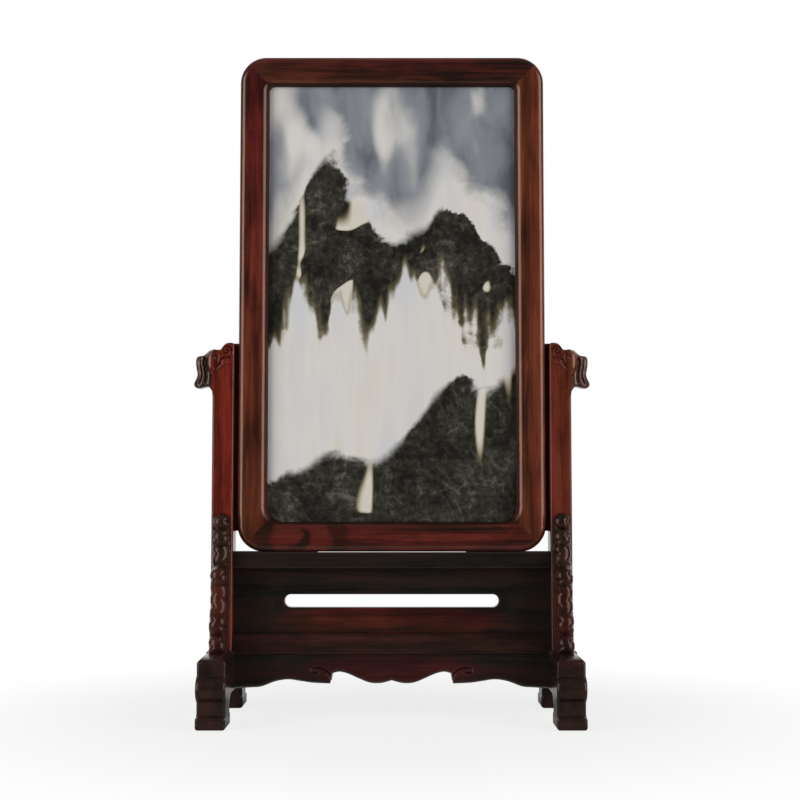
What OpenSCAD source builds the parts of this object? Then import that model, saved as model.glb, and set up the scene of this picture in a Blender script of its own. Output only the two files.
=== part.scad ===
// Chinese table screen
// A marble panel in a mitred frame stands on edge in a pierced stand and lifts straight up out of it.
// Lengths are in millimetres, Z is up and the front faces -Y.
// The origin is on the floor under the middle of the stand.

/* [Screen frame] */
// Outside width of the frame
frame_w = 255; // [230:1:300]
// Outside height of the frame
frame_h = 415; // [360:1:480]
// Width of the frame members on their face
face_w = 24.5; // [23:0.5:32]
// Radius of the frame's outer corners
outer_corner_r = 22; // [8:1:24]
// Radius of the lower corners of the opening
inner_corner_r = 12.5; // [6:0.5:18]
// Radius of the upper corners of the opening
top_corner_r = 4.5; // [3:0.5:18]
// Rounding of the outer edge, front and back
outer_edge_r = 5.5; // [1:0.5:6]
// Rounding of the front edge round the opening
inner_edge_r = 7.5; // [1:0.5:7.5]
// Thickness of the lip in front of the stone
lip_t = 8; // [8:0.5:11]
// Width of the rebate behind the lip
rebate_w = 7; // [6:0.5:8]
// Width of the tenons at the ends of the stiles
stile_tenon_w = 7.5; // [5:0.5:8]
// Wood between those tenons and the rebate
stile_tenon_wall = 2; // [1.5:0.5:3]
// Thickness of those tenons
stile_tenon_t = 6; // [4:0.5:8]
// Wood left over the end of those tenons
stile_tenon_cover = 9; // [8:0.5:11]

/* [Stone and back] */
// Thickness of the marble panel
stone_t = 8; // [6:0.5:12]
// Gap round the marble in its rebate
stone_gap = 0.5; // [0.2:0.1:0.9]
// Thickness of the board behind the marble
back_board_t = 4; // [3:0.5:6]
// Width of the strips that hold the board
bead_w = 8.5; // [7:0.5:11]
// Thickness of those strips
bead_t = 5; // [5:0.5:7]
// Rounding of the strips
bead_r = 2; // [1:0.5:2]
// Depth of the strips below the back of the frame
bead_recess = 1; // [0:0.25:2]
// Diameter of the brass pins through the strips
pin_d = 1.6; // [1.2:0.1:2]
// Length of the pins
pin_l = 14; // [12.5:0.5:15]
// Diameter of the pins' heads
pin_head_d = 2.8; // [2.2:0.1:2.9]
// Thickness of the pins' heads
pin_head_t = 0.8; // [0.5:0.1:1]
// Distance from the end of a strip to its outer pins
pin_inset = 35; // [25:1:60]

/* [Tongues] */
// Gap between the frame and each post
post_gap = 3.2; // [2:0.1:6]
// Thickness of the tongues that run in the posts
tongue_t = 8; // [6:0.5:10]
// Depth of a tongue in its stile and in its post
tongue_depth = 6; // [4:0.5:7]
// Height of a tongue's lower end above the bottom of the frame
tongue_start = 17; // [12:1:40]
// Running clearance of a tongue in its groove
tongue_play = 0.4; // [0.2:0.05:0.6]

/* [Posts] */
// Width of the posts
post_w = 18; // [17:0.5:24]
// Depth of the posts from front to back
post_d = 26; // [22:1:32]
// Rounding of the edges of the posts
post_edge_r = 2; // [0.5:0.5:4]
// Height of the posts above the rail that the screen rests on
post_rise = 173; // [130:1:220]
// Height of the shaped head of a post
head_h = 12; // [8:0.5:18]
// Width of the tenon under a post
post_tenon_w = 10; // [8:0.5:12]
// Depth of that tenon from front to back
post_tenon_d = 16; // [10:1:20]

/* [Finials] */
// Reach of a finial outside its post
finial_reach = 16.3; // [12:0.1:22]
// Height of a finial
finial_h = 39; // [28:1:50]
// Thickness of a finial
finial_t = 16; // [10:1:20]
// Diameter of the dowel that holds a finial
dowel_d = 5; // [4:0.5:6]
// Depth of the dowel in each of the two pieces
dowel_depth = 7; // [5:0.5:8]

/* [Feet] */
// Length of a foot from front to back
foot_l = 168; // [160:1:200]
// Width of a foot
foot_w = 22.6; // [20:0.2:26]
// Height of a foot under its post
foot_h = 55; // [52:0.5:57]
// Height of the pads
pad_h = 10; // [6:0.5:14]
// Length of the pads
pad_l = 37; // [28:1:44]
// Rounding of the pads
pad_r = 2.5; // [1:0.5:3]
// How far pads and rolls stand out of the sides of a foot
pad_proud = 0.5; // [0.4:0.1:2]
// Height of the waist between pad and roll
waist_h = 10.5; // [6:0.5:13]
// Radius of the roll on each end
roll_r = 10.3; // [8:0.1:11]
// Depth of the waist and of the block above the roll, behind the end of the foot
end_setback = 6; // [3:0.5:7]
// Length of the rounded shoulder on top of each end
shoulder_l = 12; // [6:0.5:13]
// Drop of that shoulder
shoulder_drop = 4; // [2:0.5:6]
// Size of the chamfers along the sides of each end's top
chamfer = 3.7; // [1.2:0.5:3.7]
// Distance of those chamfers from the post
chamfer_start = 8; // [4:1:16]
// Height of the arch between the pads
arch_h = 22; // [16:0.5:26]
// Radius of the corners of the arch
arch_r = 12; // [4:0.5:15]
// Wood left under the tenon of a post
tenon_floor = 8; // [4:0.5:12]

/* [Spandrels] */
// Height of the carved brackets
spandrel_h = 112; // [95:1:125]
// Reach of the brackets in front of a post
spandrel_reach = 32; // [30:0.5:48]
// Thickness of the brackets
spandrel_t = 14.5; // [10:0.5:16]
// Thickness of the tenon under a bracket
spandrel_tenon_t = 6; // [4:0.5:8]
// Length of that tenon
spandrel_tenon_l = 16; // [10:1:18]
// Depth of that tenon
spandrel_tenon_h = 8; // [5:0.5:12]
// Distance of that tenon from the post
spandrel_tenon_start = 8; // [5:1:9]
// Height above the foot of the peg that ties a bracket to its post
peg_z = 59; // [30:1:66]
// Diameter of that peg
peg_d = 5; // [4:0.5:6]
// Depth of that peg in each of the two pieces
peg_depth = 8; // [5:0.5:9]

/* [Rails and board] */
// Depth of the rails from front to back
rail_d = 24; // [20:0.5:26]
// Rounding of the edges of the rails
rail_edge_r = 1.5; // [0.5:0.25:3]
// Height of the lower rail's underside above the floor
low_rail_z = 51; // [49:0.5:54]
// Height of the lower rail
low_rail_h = 17; // [15.5:0.5:24]
// Height of the top rail
top_rail_h = 14; // [13:0.5:20]
// Length of the hollow in the top rail, so that the screen bears near its ends
seat_hollow_l = 124; // [60:1:180]
// Depth of that hollow
seat_hollow_d = 0.9; // [0.3:0.1:1.2]
// Height of the board that shows between the rails
board_h = 53; // [40:1:70]
// Thickness of the board
board_t = 9; // [7:0.5:12]
// Depth of the board's edges in their grooves
board_tongue = 4; // [3:0.5:5]
// Length of the slot in the board
slot_l = 177; // [120:1:210]
// Height of the slot
slot_h = 10.7; // [7:0.1:16]
// Distance from the slot to the raised bead round it
slot_bead_gap = 4; // [3:0.5:8]
// Width of that bead
slot_bead_w = 1.6; // [1:0.2:3]
// Height of that bead above the board
slot_bead_t = 0.8; // [0.4:0.1:1.5]
// Depth of the rails' tenons in the posts
rail_tenon_l = 11; // [8:0.5:13]
// Thickness of those tenons
rail_tenon_t = 8; // [6:0.5:10]
// Height of those tenons
rail_tenon_h = 8; // [6:0.5:9]
// Distance of those tenons below the top of their rail
rail_tenon_drop = 2.5; // [1.5:0.5:3]

/* [Aprons] */
// Drop of an apron at its ends
apron_h = 25; // [20:0.5:28]
// Thickness of an apron
apron_t = 8; // [6:0.5:9]
// Slope of an apron, outward towards the floor, in degrees
apron_tilt = 18; // [5:1:30]
// Distance of an apron's top behind the face of the rail
apron_setback = 1; // [0.5:0.5:3]
// Depth of an apron's ends in the feet
apron_housing = 3; // [2:0.5:4]

/* [Joinery] */
// Clearance on the cheeks of a glued joint
fit = 0.1; // [0.05:0.05:0.2]
// Room past the end of a tenon, dowel or tongue
end_room = 0.6; // [0.3:0.1:1]

/* [Hidden] */
$fn = 64;

// Colours of the lacquered wood, the stone, the plain board and the pins
frame_colour = [0.36, 0.14, 0.10];
stand_colour = [0.24, 0.10, 0.08];
carved_colour = [0.30, 0.11, 0.09];
stone_colour = [0.74, 0.75, 0.75];
board_colour = [0.42, 0.27, 0.18];
brass_colour = [0.78, 0.62, 0.30];

// A cutter reaches this far past the face that it cuts
over = 1;
// Larger than anything that a half-space cut has to cover
far = 2 * (frame_w + frame_h);

// Heights, from the floor up
low_rail_top = low_rail_z + low_rail_h;
board_top = low_rail_top + board_h;
seat_z = board_top + top_rail_h;
frame_mid_z = seat_z + frame_h / 2;
post_top = seat_z + post_rise;
roll_z = pad_h + waist_h + roll_r;
slot_z = low_rail_top + board_h / 2;

// The frame from front to back
frame_d = lip_t + stone_t + back_board_t + bead_t + bead_recess;
frame_front = -frame_d / 2;
stone_front = frame_front + lip_t;
back_board_front = stone_front + stone_t;
bead_front = back_board_front + back_board_t;

// The opening, the rebate and the stone
open_w = frame_w - 2 * face_w;
open_h = frame_h - 2 * face_w;
rebate_outer_w = open_w + 2 * rebate_w;
rebate_outer_h = open_h + 2 * rebate_w;
stone_w = rebate_outer_w - 2 * stone_gap;
stone_h = rebate_outer_h - 2 * stone_gap;
mitre_l = face_w + max(inner_corner_r, top_corner_r);

// The tongues
tongue_low = seat_z + tongue_start;
tongue_w = post_gap + 2 * tongue_depth;
stile_groove_depth = tongue_depth + fit;
post_groove_depth = tongue_depth + end_room;

// Posts and feet, measured from the middle
post_in_x = frame_w / 2 + post_gap;
post_x = post_in_x + post_w / 2;
post_out_x = post_in_x + post_w;
foot_in_x = post_x - foot_w / 2;
foot_end = foot_l / 2;
block_end = foot_end - end_setback;
post_tenon_l = foot_h - arch_h - tenon_floor;

// Heights of the middles of the rails' tenons
low_tenon_z = low_rail_top - rail_tenon_drop - rail_tenon_h / 2;
top_tenon_z = seat_z - rail_tenon_drop - rail_tenon_h / 2;

// Drop of an apron along its slope
apron_slope_h = apron_h / cos(apron_tilt);

// Lower edge of half an apron, as shares of its half length and of its drop, in runs that meet at cusps
apron_runs = [
    [[1, 1], [0.9, 0.97], [0.83, 0.94], [0.74, 0.78], [0.66, 0.72], [0.58, 0.77], [0.5, 0.825], [0.39, 0.85]],
    [[0.39, 0.85], [0.378, 0.53]],
    [[0.378, 0.53], [0.335, 0.48], [0.28, 0.54], [0.21, 0.69], [0.14, 0.82], [0.07, 0.835], [0, 0.75]]
];
// Outer edge of a bracket from its top, as shares of its reach and of its height, in runs that meet at cusps
spandrel_runs = [
    [[0, 1], [0.13, 0.99], [0.24, 0.955], [0.25, 0.91], [0.18, 0.88]],
    [[0.18, 0.88], [0.3, 0.87], [0.38, 0.83], [0.38, 0.785], [0.29, 0.75]],
    [[0.29, 0.75], [0.32, 0.69], [0.42, 0.635], [0.56, 0.61], [0.69, 0.59], [0.76, 0.55], [0.75, 0.5],
        [0.66, 0.465]],
    [[0.66, 0.465], [0.65, 0.4], [0.69, 0.335], [0.79, 0.285], [0.9, 0.245], [0.94, 0.195], [0.9, 0.15],
        [0.82, 0.125]],
    [[0.82, 0.125], [0.92, 0.108], [0.99, 0.07], [1, 0.035], [0.97, 0.01], [0.94, 0]]
];
// Outer edge of a finial from its top, as shares of its reach and of its height
finial_runs = [
    [[0, 0], [0.15, 0], [0.27, -0.03], [0.38, -0.075], [0.5, -0.115], [0.66, -0.13], [0.82, -0.145],
        [0.9, -0.21], [0.91, -0.3], [0.87, -0.42], [0.83, -0.52], [0.88, -0.61], [0.97, -0.69], [0.995, -0.755],
        [0.9, -0.81], [0.72, -0.825]],
    [[0.72, -0.825], [0.5, -0.805], [0.36, -0.79], [0.26, -0.79]],
    [[0.26, -0.79], [0.17, -0.83], [0.07, -0.9], [0, -1]]
];
// Top of a post from its inner face out, as shares of its width and of the height of its head
head_runs = [
    [[0, 0.82], [0.04, 0.95], [0.15, 1], [0.34, 0.975], [0.46, 0.88], [0.56, 0.7], [0.64, 0.53]],
    [[0.64, 0.53], [0.75, 0.51], [0.88, 0.535], [1, 0.54]]
];

// The finials start level with the outer end of the posts' heads
finial_top = post_top - head_h * (1 - last(last(head_runs))[1]);
dowel_z = finial_top - finial_h / 2;

// A point on the smooth curve through the points p, at share t of the way from point i to the next
function curve_point(p, i, t) =
    let (a = p[max(i - 1, 0)], b = p[i], c = p[i + 1], d = p[min(i + 2, len(p) - 1)])
    (2 * b + (c - a) * t + (2 * a - 5 * b + 4 * c - d) * t * t + (3 * b - a - 3 * c + d) * t * t * t) / 2;
// Points between one point of p and the next
curve_steps = 5;
// The smooth curve through the points p, without the last of them; two points make a straight line
function open_curve(p) =
    let (steps = len(p) > 2 ? curve_steps : 1)
    [for (i = [0 : len(p) - 2]) for (k = [0 : steps - 1]) curve_point(p, i, k / steps)];
// The last item of a list
function last(p) = p[len(p) - 1];
// The smooth curve through the points p
function curve(p) = concat(open_curve(p), [last(p)]);
// Several curves end to end, sized by the lengths in size
function outline(runs, size) =
    let (points = concat([for (run = runs) each open_curve(run)], [last(last(runs))]))
    [for (q = points) [q[0] * size[0], q[1] * size[1]]];
// The same points from last to first, mirrored left to right
function mirrored(p) = [for (i = [len(p) - 1 : -1 : 0]) [-p[i][0], p[i][1]]];

// Flat shapes turned and given a thickness along one axis
module along_x(length) { rotate([90, 0, 90]) linear_extrude(height = length, center = true) children(); }
module along_y(length) { rotate([90, 0, 0]) linear_extrude(height = length, center = true) children(); }
module along_z(length) { linear_extrude(height = length, center = true) children(); }

// A block from its middle and its size
module block(middle, size) { translate(middle) cube(size, center = true); }

// A rectangle with round corners
module round_rect(size, r) {
    square([size[0] - 2 * r, size[1]], center = true);
    square([size[0], size[1] - 2 * r], center = true);
    for (x = [-1, 1], y = [-1, 1])
        translate([x * (size[0] / 2 - r), y * (size[1] / 2 - r)]) circle(r);
}

// A slot with half-round ends
module pill(length, height) {
    square([length - height, height], center = true);
    for (x = [-1, 1]) translate([x * (length - height) / 2, 0]) circle(height / 2);
}

// The corner that a rounding of radius r takes away, with the middle of the rounding at the origin
module rounding_waste(r, side) {
    mirror([side < 0 ? 1 : 0, 0])
        difference() {
            square([r + over, r + over]);
            circle(r);
        }
}

// What a rounding takes off the front edge of a round-cornered plate, or with side -1 of an opening
module edge_waste(w, h, low_r, high_r, r, side) {
    // Corners clockwise from the upper right; each side runs from the next corner up to its own
    corner_rs = [high_r, low_r, low_r, high_r];
    for (k = [0 : 3])
        let (half_w = (k % 2 == 0 ? w : h) / 2, half_h = (k % 2 == 0 ? h : w) / 2,
            own_r = corner_rs[k], next_r = corner_rs[(k + 1) % 4])
            rotate([0, 90 * k, 0]) {
                translate([half_w - side * r, 0, (next_r - own_r) / 2])
                    along_z(2 * half_h - own_r - next_r) mirror([0, 1]) rounding_waste(r, side);
                translate([half_w - own_r, 0, half_h - own_r])
                    rotate([90, 0, 0]) rotate_extrude(angle = 90)
                        translate([own_r - side * r, 0]) rounding_waste(r, side);
            }
}

// The opening of the frame, whose lower and upper corners have radii of their own
module opening() {
    corners = [[-1, inner_corner_r], [1, top_corner_r]];
    difference() {
        square([open_w, open_h], center = true);
        for (x = [-1, 1], corner = corners)
            translate([x * open_w / 2, corner[0] * open_h / 2]) square(2 * corner[1], center = true);
    }
    for (x = [-1, 1], corner = corners)
        translate([x * (open_w / 2 - corner[1]), corner[0] * (open_h / 2 - corner[1])]) circle(corner[1]);
}

// The whole frame before it is parted into its members
module frame_ring() {
    translate([0, 0, frame_mid_z])
        difference() {
            along_y(frame_d) round_rect([frame_w, frame_h], outer_corner_r);
            along_y(frame_d + 2 * over) opening();
            block([0, stone_front + far / 2, 0], [rebate_outer_w, far, rebate_outer_h]);
            for (back = [0, 1]) mirror([0, back, 0])
                translate([0, frame_front + outer_edge_r, 0])
                    edge_waste(frame_w, frame_h, outer_corner_r, outer_corner_r, outer_edge_r, 1);
            translate([0, frame_front + inner_edge_r, 0])
                edge_waste(open_w, open_h, inner_corner_r, top_corner_r, inner_edge_r, -1);
        }
}

// The share of a mitred rectangle of w by h that belongs to the member on its right, cut in as far as length
module mitre_wedge(w, h, length) {
    along_y(far)
        polygon([[w / 2, -h / 2], [w / 2, h / 2], [w / 2 - length, h / 2 - length],
            [w / 2 - length, length - h / 2]]);
}

// Tenons at the two ends of the right-hand stile
module stile_tenons(room) {
    tenon_in_x = frame_w / 2 - face_w + rebate_w + stile_tenon_wall;
    tenon_end = frame_h / 2 - stile_tenon_cover;
    block([tenon_in_x + stile_tenon_w / 2, stone_front + stile_tenon_wall + stile_tenon_t / 2, frame_mid_z],
        [stile_tenon_w + 2 * room, stile_tenon_t + 2 * room, 2 * (tenon_end + room)]);
}

// Pins through one side of the back strips; w is across the pins' direction and h along the strip
module pin_row(w, h, shank_d) {
    for (z = [pin_inset - h / 2, 0, h / 2 - pin_inset])
        translate([w / 2 - bead_w, bead_front + (bead_t - bead_r) / 2, z])
            rotate([0, 90, 0]) {
                cylinder(h = pin_l, d = shank_d);
                translate([0, 0, -pin_head_t]) cylinder(h = pin_head_t, d = pin_head_d);
            }
}

// All pins, or with a wider shank their bores
module all_pins(shank_d) {
    translate([0, 0, frame_mid_z])
        for (turn = [0, 180]) rotate([0, turn, 0]) {
            pin_row(rebate_outer_w, rebate_outer_h, shank_d);
            rotate([0, 90, 0]) pin_row(rebate_outer_h, rebate_outer_w, shank_d);
        }
}

// A stile; side is 1 for the right-hand one and -1 for the left-hand one
module stile(side) {
    color(frame_colour) mirror([side < 0 ? 1 : 0, 0, 0])
        difference() {
            union() {
                intersection() {
                    frame_ring();
                    translate([0, 0, frame_mid_z]) mitre_wedge(frame_w, frame_h, mitre_l);
                }
                stile_tenons(0);
            }
            block([frame_w / 2 + over / 2 - stile_groove_depth / 2, 0, (tongue_low + post_top) / 2],
                [stile_groove_depth + over, tongue_t + 2 * fit, post_top - tongue_low + 2 * fit]);
            all_pins(pin_d + 2 * fit);
        }
}

// A rail of the frame; side is 1 for the top one and -1 for the bottom one
module frame_rail(side) {
    color(frame_colour)
        difference() {
            intersection() {
                frame_ring();
                translate([0, 0, frame_mid_z])
                    rotate([0, -90 * side, 0]) mitre_wedge(frame_h, frame_w, mitre_l);
            }
            for (x = [0, 1]) mirror([x, 0, 0]) stile_tenons(fit);
            all_pins(pin_d + 2 * fit);
        }
}

module marble_panel() {
    color(stone_colour) block([0, stone_front + stone_t / 2, frame_mid_z], [stone_w, stone_t, stone_h]);
}

module back_board() {
    color(board_colour)
        block([0, back_board_front + back_board_t / 2, frame_mid_z], [stone_w, back_board_t, stone_h]);
}

// One back strip on the right of a rectangle of w by h, with mitred ends and a rounded inner edge
module back_bead(w, h) {
    inner_edge = w / 2 - bead_w;
    intersection() {
        translate([0, bead_front, 0]) along_z(h)
            difference() {
                translate([inner_edge, 0]) square([bead_w, bead_t]);
                translate([inner_edge + bead_r, bead_t - bead_r]) rounding_waste(bead_r, -1);
            }
        mitre_wedge(w, h, 2 * bead_w);
    }
}

// A strip in its place, turned about the middle of the frame
module placed_bead(turn, w, h) {
    color(board_colour)
        difference() {
            translate([0, 0, frame_mid_z]) rotate([0, turn, 0]) back_bead(w, h);
            all_pins(pin_d + 2 * fit);
        }
}

module bead_pins() {
    color(brass_colour) all_pins(pin_d);
}

// A tongue, half in its stile and half in its post
module tongue(side) {
    color(stand_colour)
        block([side * (frame_w / 2 + post_gap / 2), 0, (tongue_low + post_top) / 2],
            [tongue_w, tongue_t, post_top - tongue_low]);
}

// The body of a foot from the side, with its rounded shoulders
module foot_body_side() {
    shoulder = curve([[block_end - shoulder_l, foot_h], [block_end - shoulder_l / 3, foot_h - shoulder_drop / 3],
        [block_end, foot_h - shoulder_drop]]);
    ends = concat([[block_end, pad_h / 2]], [for (i = [len(shoulder) - 1 : -1 : 0]) shoulder[i]]);
    polygon(concat(ends, mirrored(ends)));
}

// The rolls and pads at the ends of a foot from the side
module foot_ends_side() {
    for (y = [-1, 1]) {
        translate([y * (foot_end - roll_r), roll_z]) circle(roll_r);
        translate([y * (foot_end - pad_l / 2), pad_h / 2]) round_rect([pad_l, pad_h], pad_r);
    }
}

// The space under the arch of a foot
module arch_side() {
    translate([0, arch_h / 2 - arch_r]) round_rect([foot_l - 2 * pad_l, arch_h + 2 * arch_r], arch_r);
}

// The chamfers that slope the top of each end down to its sides, about the middle of a foot
module chamfer_waste() {
    start = post_d / 2 + chamfer_start;
    for (x = [-1, 1], y = [-1, 1])
        translate([x * foot_w / 2, y * (start + foot_end) / 2, foot_h]) rotate([0, 45, 0])
            cube([chamfer * sqrt(2), foot_end - start, chamfer * sqrt(2)], center = true);
}

// A foot; side is 1 for the right-hand one and -1 for the left-hand one
module foot(side) {
    color(stand_colour) mirror([side < 0 ? 1 : 0, 0, 0])
        difference() {
            translate([post_x, 0, 0]) {
                along_x(foot_w) difference() {
                    foot_body_side();
                    arch_side();
                }
                along_x(foot_w + 2 * pad_proud) difference() {
                    foot_ends_side();
                    arch_side();
                }
            }
            translate([post_x, 0, 0]) chamfer_waste();
            post_tenon(fit, end_room);
            for (rear = [0, 1]) mirror([0, rear, 0]) {
                spandrel_tenon(fit, end_room);
                apron_end(fit);
            }
        }
}

// The tenon under the right-hand post, or with room its mortise
module post_tenon(room, depth_room) {
    length = post_tenon_l + depth_room + over;
    block([post_x, 0, foot_h + over - length / 2],
        [post_tenon_w + 2 * room, post_tenon_d + 2 * room, length]);
}

// A rail tenon at the right-hand post, or with room its mortise
module rail_tenon(z, room, depth_room) {
    length = rail_tenon_l + depth_room + over;
    block([post_in_x - over + length / 2, 0, z], [length, rail_tenon_t + 2 * room, rail_tenon_h + 2 * room]);
}

// The dowel between the right-hand finial and its post, or with room its bore
module finial_dowel(room, depth_room) {
    translate([post_out_x, 0, dowel_z]) rotate([0, 90, 0])
        cylinder(h = 2 * (dowel_depth + depth_room), d = dowel_d + 2 * room, center = true);
}

// The peg between the front right-hand bracket and its post, or with room its bore
module spandrel_peg(room, depth_room) {
    translate([post_x, -post_d / 2, foot_h + peg_z]) rotate([90, 0, 0])
        cylinder(h = 2 * (peg_depth + depth_room), d = peg_d + 2 * room, center = true);
}

// A post; side is 1 for the right-hand one and -1 for the left-hand one
module post(side) {
    head = outline(head_runs, [post_w, head_h]);
    shape = concat([[-over, -far], [-over, head[0][1]]], head,
        [[post_w + over, last(head)[1]], [post_w + over, -far]]);
    color(carved_colour) mirror([side < 0 ? 1 : 0, 0, 0])
        difference() {
            union() {
                intersection() {
                    translate([post_x, 0, (foot_h + post_top) / 2])
                        along_z(post_top - foot_h) round_rect([post_w, post_d], post_edge_r);
                    translate([post_in_x, 0, post_top - head_h]) along_y(far) polygon(shape);
                }
                post_tenon(0, 0);
            }
            block([post_in_x - over / 2 + post_groove_depth / 2, 0, (tongue_low - end_room + far) / 2],
                [post_groove_depth + over, tongue_t + 2 * tongue_play, far - tongue_low + end_room]);
            block([post_in_x, 0, slot_z],
                [2 * (board_tongue + end_room), board_t + 2 * fit, board_h + 2 * fit]);
            rail_tenon(low_tenon_z, fit, end_room);
            rail_tenon(top_tenon_z, fit, end_room);
            finial_dowel(fit, end_room);
            for (rear = [0, 1]) mirror([0, rear, 0]) spandrel_peg(fit, end_room);
        }
}

// The carving that hangs outside the head of a post
module finial(side) {
    color(carved_colour) mirror([side < 0 ? 1 : 0, 0, 0])
        difference() {
            translate([post_out_x, 0, finial_top])
                along_y(finial_t) polygon(outline(finial_runs, [finial_reach, finial_h]));
            finial_dowel(fit, end_room);
        }
}

module finial_dowels() {
    color(board_colour) for (left = [0, 1]) mirror([left, 0, 0]) finial_dowel(0, 0);
}

// The tenon under the front right-hand bracket, or with room its mortise
module spandrel_tenon(room, depth_room) {
    height = spandrel_tenon_h + depth_room + over;
    block([post_x, -post_d / 2 - spandrel_tenon_start - spandrel_tenon_l / 2, foot_h + over - height / 2],
        [spandrel_tenon_t + 2 * room, spandrel_tenon_l + 2 * room, height]);
}

// A carved bracket; side is 1 on the right and -1 on the left, and rear is 1 at the back
module spandrel(side, rear) {
    edge = outline(spandrel_runs, [spandrel_reach, spandrel_h]);
    color(carved_colour) mirror([side < 0 ? 1 : 0, 0, 0]) mirror([0, rear, 0])
        difference() {
            union() {
                translate([post_x, -post_d / 2, foot_h])
                    along_x(spandrel_t) polygon(concat([[0, 0]], [for (q = edge) [-q[0], q[1]]]));
                spandrel_tenon(0, 0);
            }
            spandrel_peg(fit, end_room);
        }
}

module spandrel_pegs() {
    color(board_colour)
        for (left = [0, 1], rear = [0, 1]) mirror([left, 0, 0]) mirror([0, rear, 0]) spandrel_peg(0, 0);
}

// A rail of the stand with its two tenons, before it is grooved for the board
module stand_rail(low, high, tenon_z) {
    translate([0, 0, (low + high) / 2]) along_x(2 * post_in_x) round_rect([rail_d, high - low], rail_edge_r);
    for (left = [0, 1]) mirror([left, 0, 0]) rail_tenon(tenon_z, 0, 0);
}

// The groove that takes the board's upper or lower edge
module board_groove(face_z) {
    block([0, 0, face_z], [far, board_t + 2 * fit, 2 * (board_tongue + end_room)]);
}

module stand_top_rail() {
    color(stand_colour)
        difference() {
            stand_rail(board_top, seat_z, top_tenon_z);
            block([0, 0, seat_z], [seat_hollow_l, 2 * rail_d, 2 * seat_hollow_d]);
            intersection() {
                board_groove(board_top);
                block([0, 0, board_top], [2 * post_in_x, far, far]);
            }
        }
}

module stand_bottom_rail() {
    color(stand_colour)
        difference() {
            stand_rail(low_rail_z, low_rail_top, low_tenon_z);
            intersection() {
                board_groove(low_rail_top);
                block([0, 0, low_rail_top], [2 * post_in_x, far, far]);
            }
            for (side = [-1, 1])
                block([side * (foot_in_x + far / 2), 0, foot_h - far / 2], [far, far, far]);
        }
}

// The board: its edges run into both rails and both posts, but not into the corners between them
module pierced_board() {
    color(stand_colour) translate([0, 0, slot_z])
        difference() {
            union() {
                block([0, 0, 0], [2 * post_in_x, board_t, board_h + 2 * board_tongue]);
                block([0, 0, 0], [2 * (post_in_x + board_tongue), board_t, board_h]);
                along_y(board_t + 2 * slot_bead_t) difference() {
                    pill(slot_l + 2 * (slot_bead_gap + slot_bead_w),
                        slot_h + 2 * (slot_bead_gap + slot_bead_w));
                    pill(slot_l + 2 * slot_bead_gap, slot_h + 2 * slot_bead_gap);
                }
            }
            along_y(far) pill(slot_l, slot_h);
        }
}

// Turns a flat shape, drawn with its top edge at the origin, into the slope of the front apron
module in_apron_slope(room) {
    intersection() {
        translate([0, apron_setback - rail_d / 2, low_rail_z])
            rotate([-apron_tilt, 0, 0]) translate([0, apron_t / 2, 0]) along_y(apron_t + 2 * room) children();
        block([0, 0, low_rail_z - far / 2], [far, far, far]);
    }
}

// The housing for an apron's end in the right-hand foot
module apron_end(room) {
    in_apron_slope(room)
        translate([foot_in_x - over, -apron_slope_h - room])
            square([apron_housing + end_room + over, apron_slope_h + apron_t + room]);
}

// An apron; rear is 1 for the one at the back
module apron(rear) {
    edge = outline(apron_runs, [foot_in_x, -apron_slope_h]);
    tip_x = foot_in_x + apron_housing;
    half = concat([[tip_x, apron_t], [tip_x, -apron_slope_h]], edge);
    left_half = mirrored([for (i = [0 : len(half) - 2]) half[i]]);
    color(stand_colour) mirror([0, rear, 0]) in_apron_slope(0) polygon(concat(half, left_half));
}

frame_rail(1);  // frame_top_rail
frame_rail(-1);  // frame_bottom_rail
stile(-1);  // frame_left_stile
stile(1);  // frame_right_stile
marble_panel();
back_board();
placed_bead(-90, rebate_outer_h, rebate_outer_w);  // back_bead_top
placed_bead(90, rebate_outer_h, rebate_outer_w);  // back_bead_bottom
placed_bead(180, rebate_outer_w, rebate_outer_h);  // back_bead_left
placed_bead(0, rebate_outer_w, rebate_outer_h);  // back_bead_right
bead_pins();
tongue(-1);  // left_tongue
tongue(1);  // right_tongue
foot(-1);  // left_foot
foot(1);  // right_foot
post(-1);  // left_post
post(1);  // right_post
finial(-1);  // left_finial
finial(1);  // right_finial
finial_dowels();
spandrel(-1, 0);  // spandrel_front_left
spandrel(1, 0);  // spandrel_front_right
spandrel(-1, 1);  // spandrel_rear_left
spandrel(1, 1);  // spandrel_rear_right
spandrel_pegs();
stand_top_rail();
pierced_board();
stand_bottom_rail();
apron(0);  // front_apron
apron(1);  // rear_apron
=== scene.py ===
"""Looks of a table screen: lacquered rosewood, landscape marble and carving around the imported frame.

Lengths are in metres. The front faces -Y, X runs to the right and Z is up.
"""

import math

import bmesh
import bpy
import numpy as np
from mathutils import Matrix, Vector
from mathutils.geometry import delaunay_2d_cdt


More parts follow.
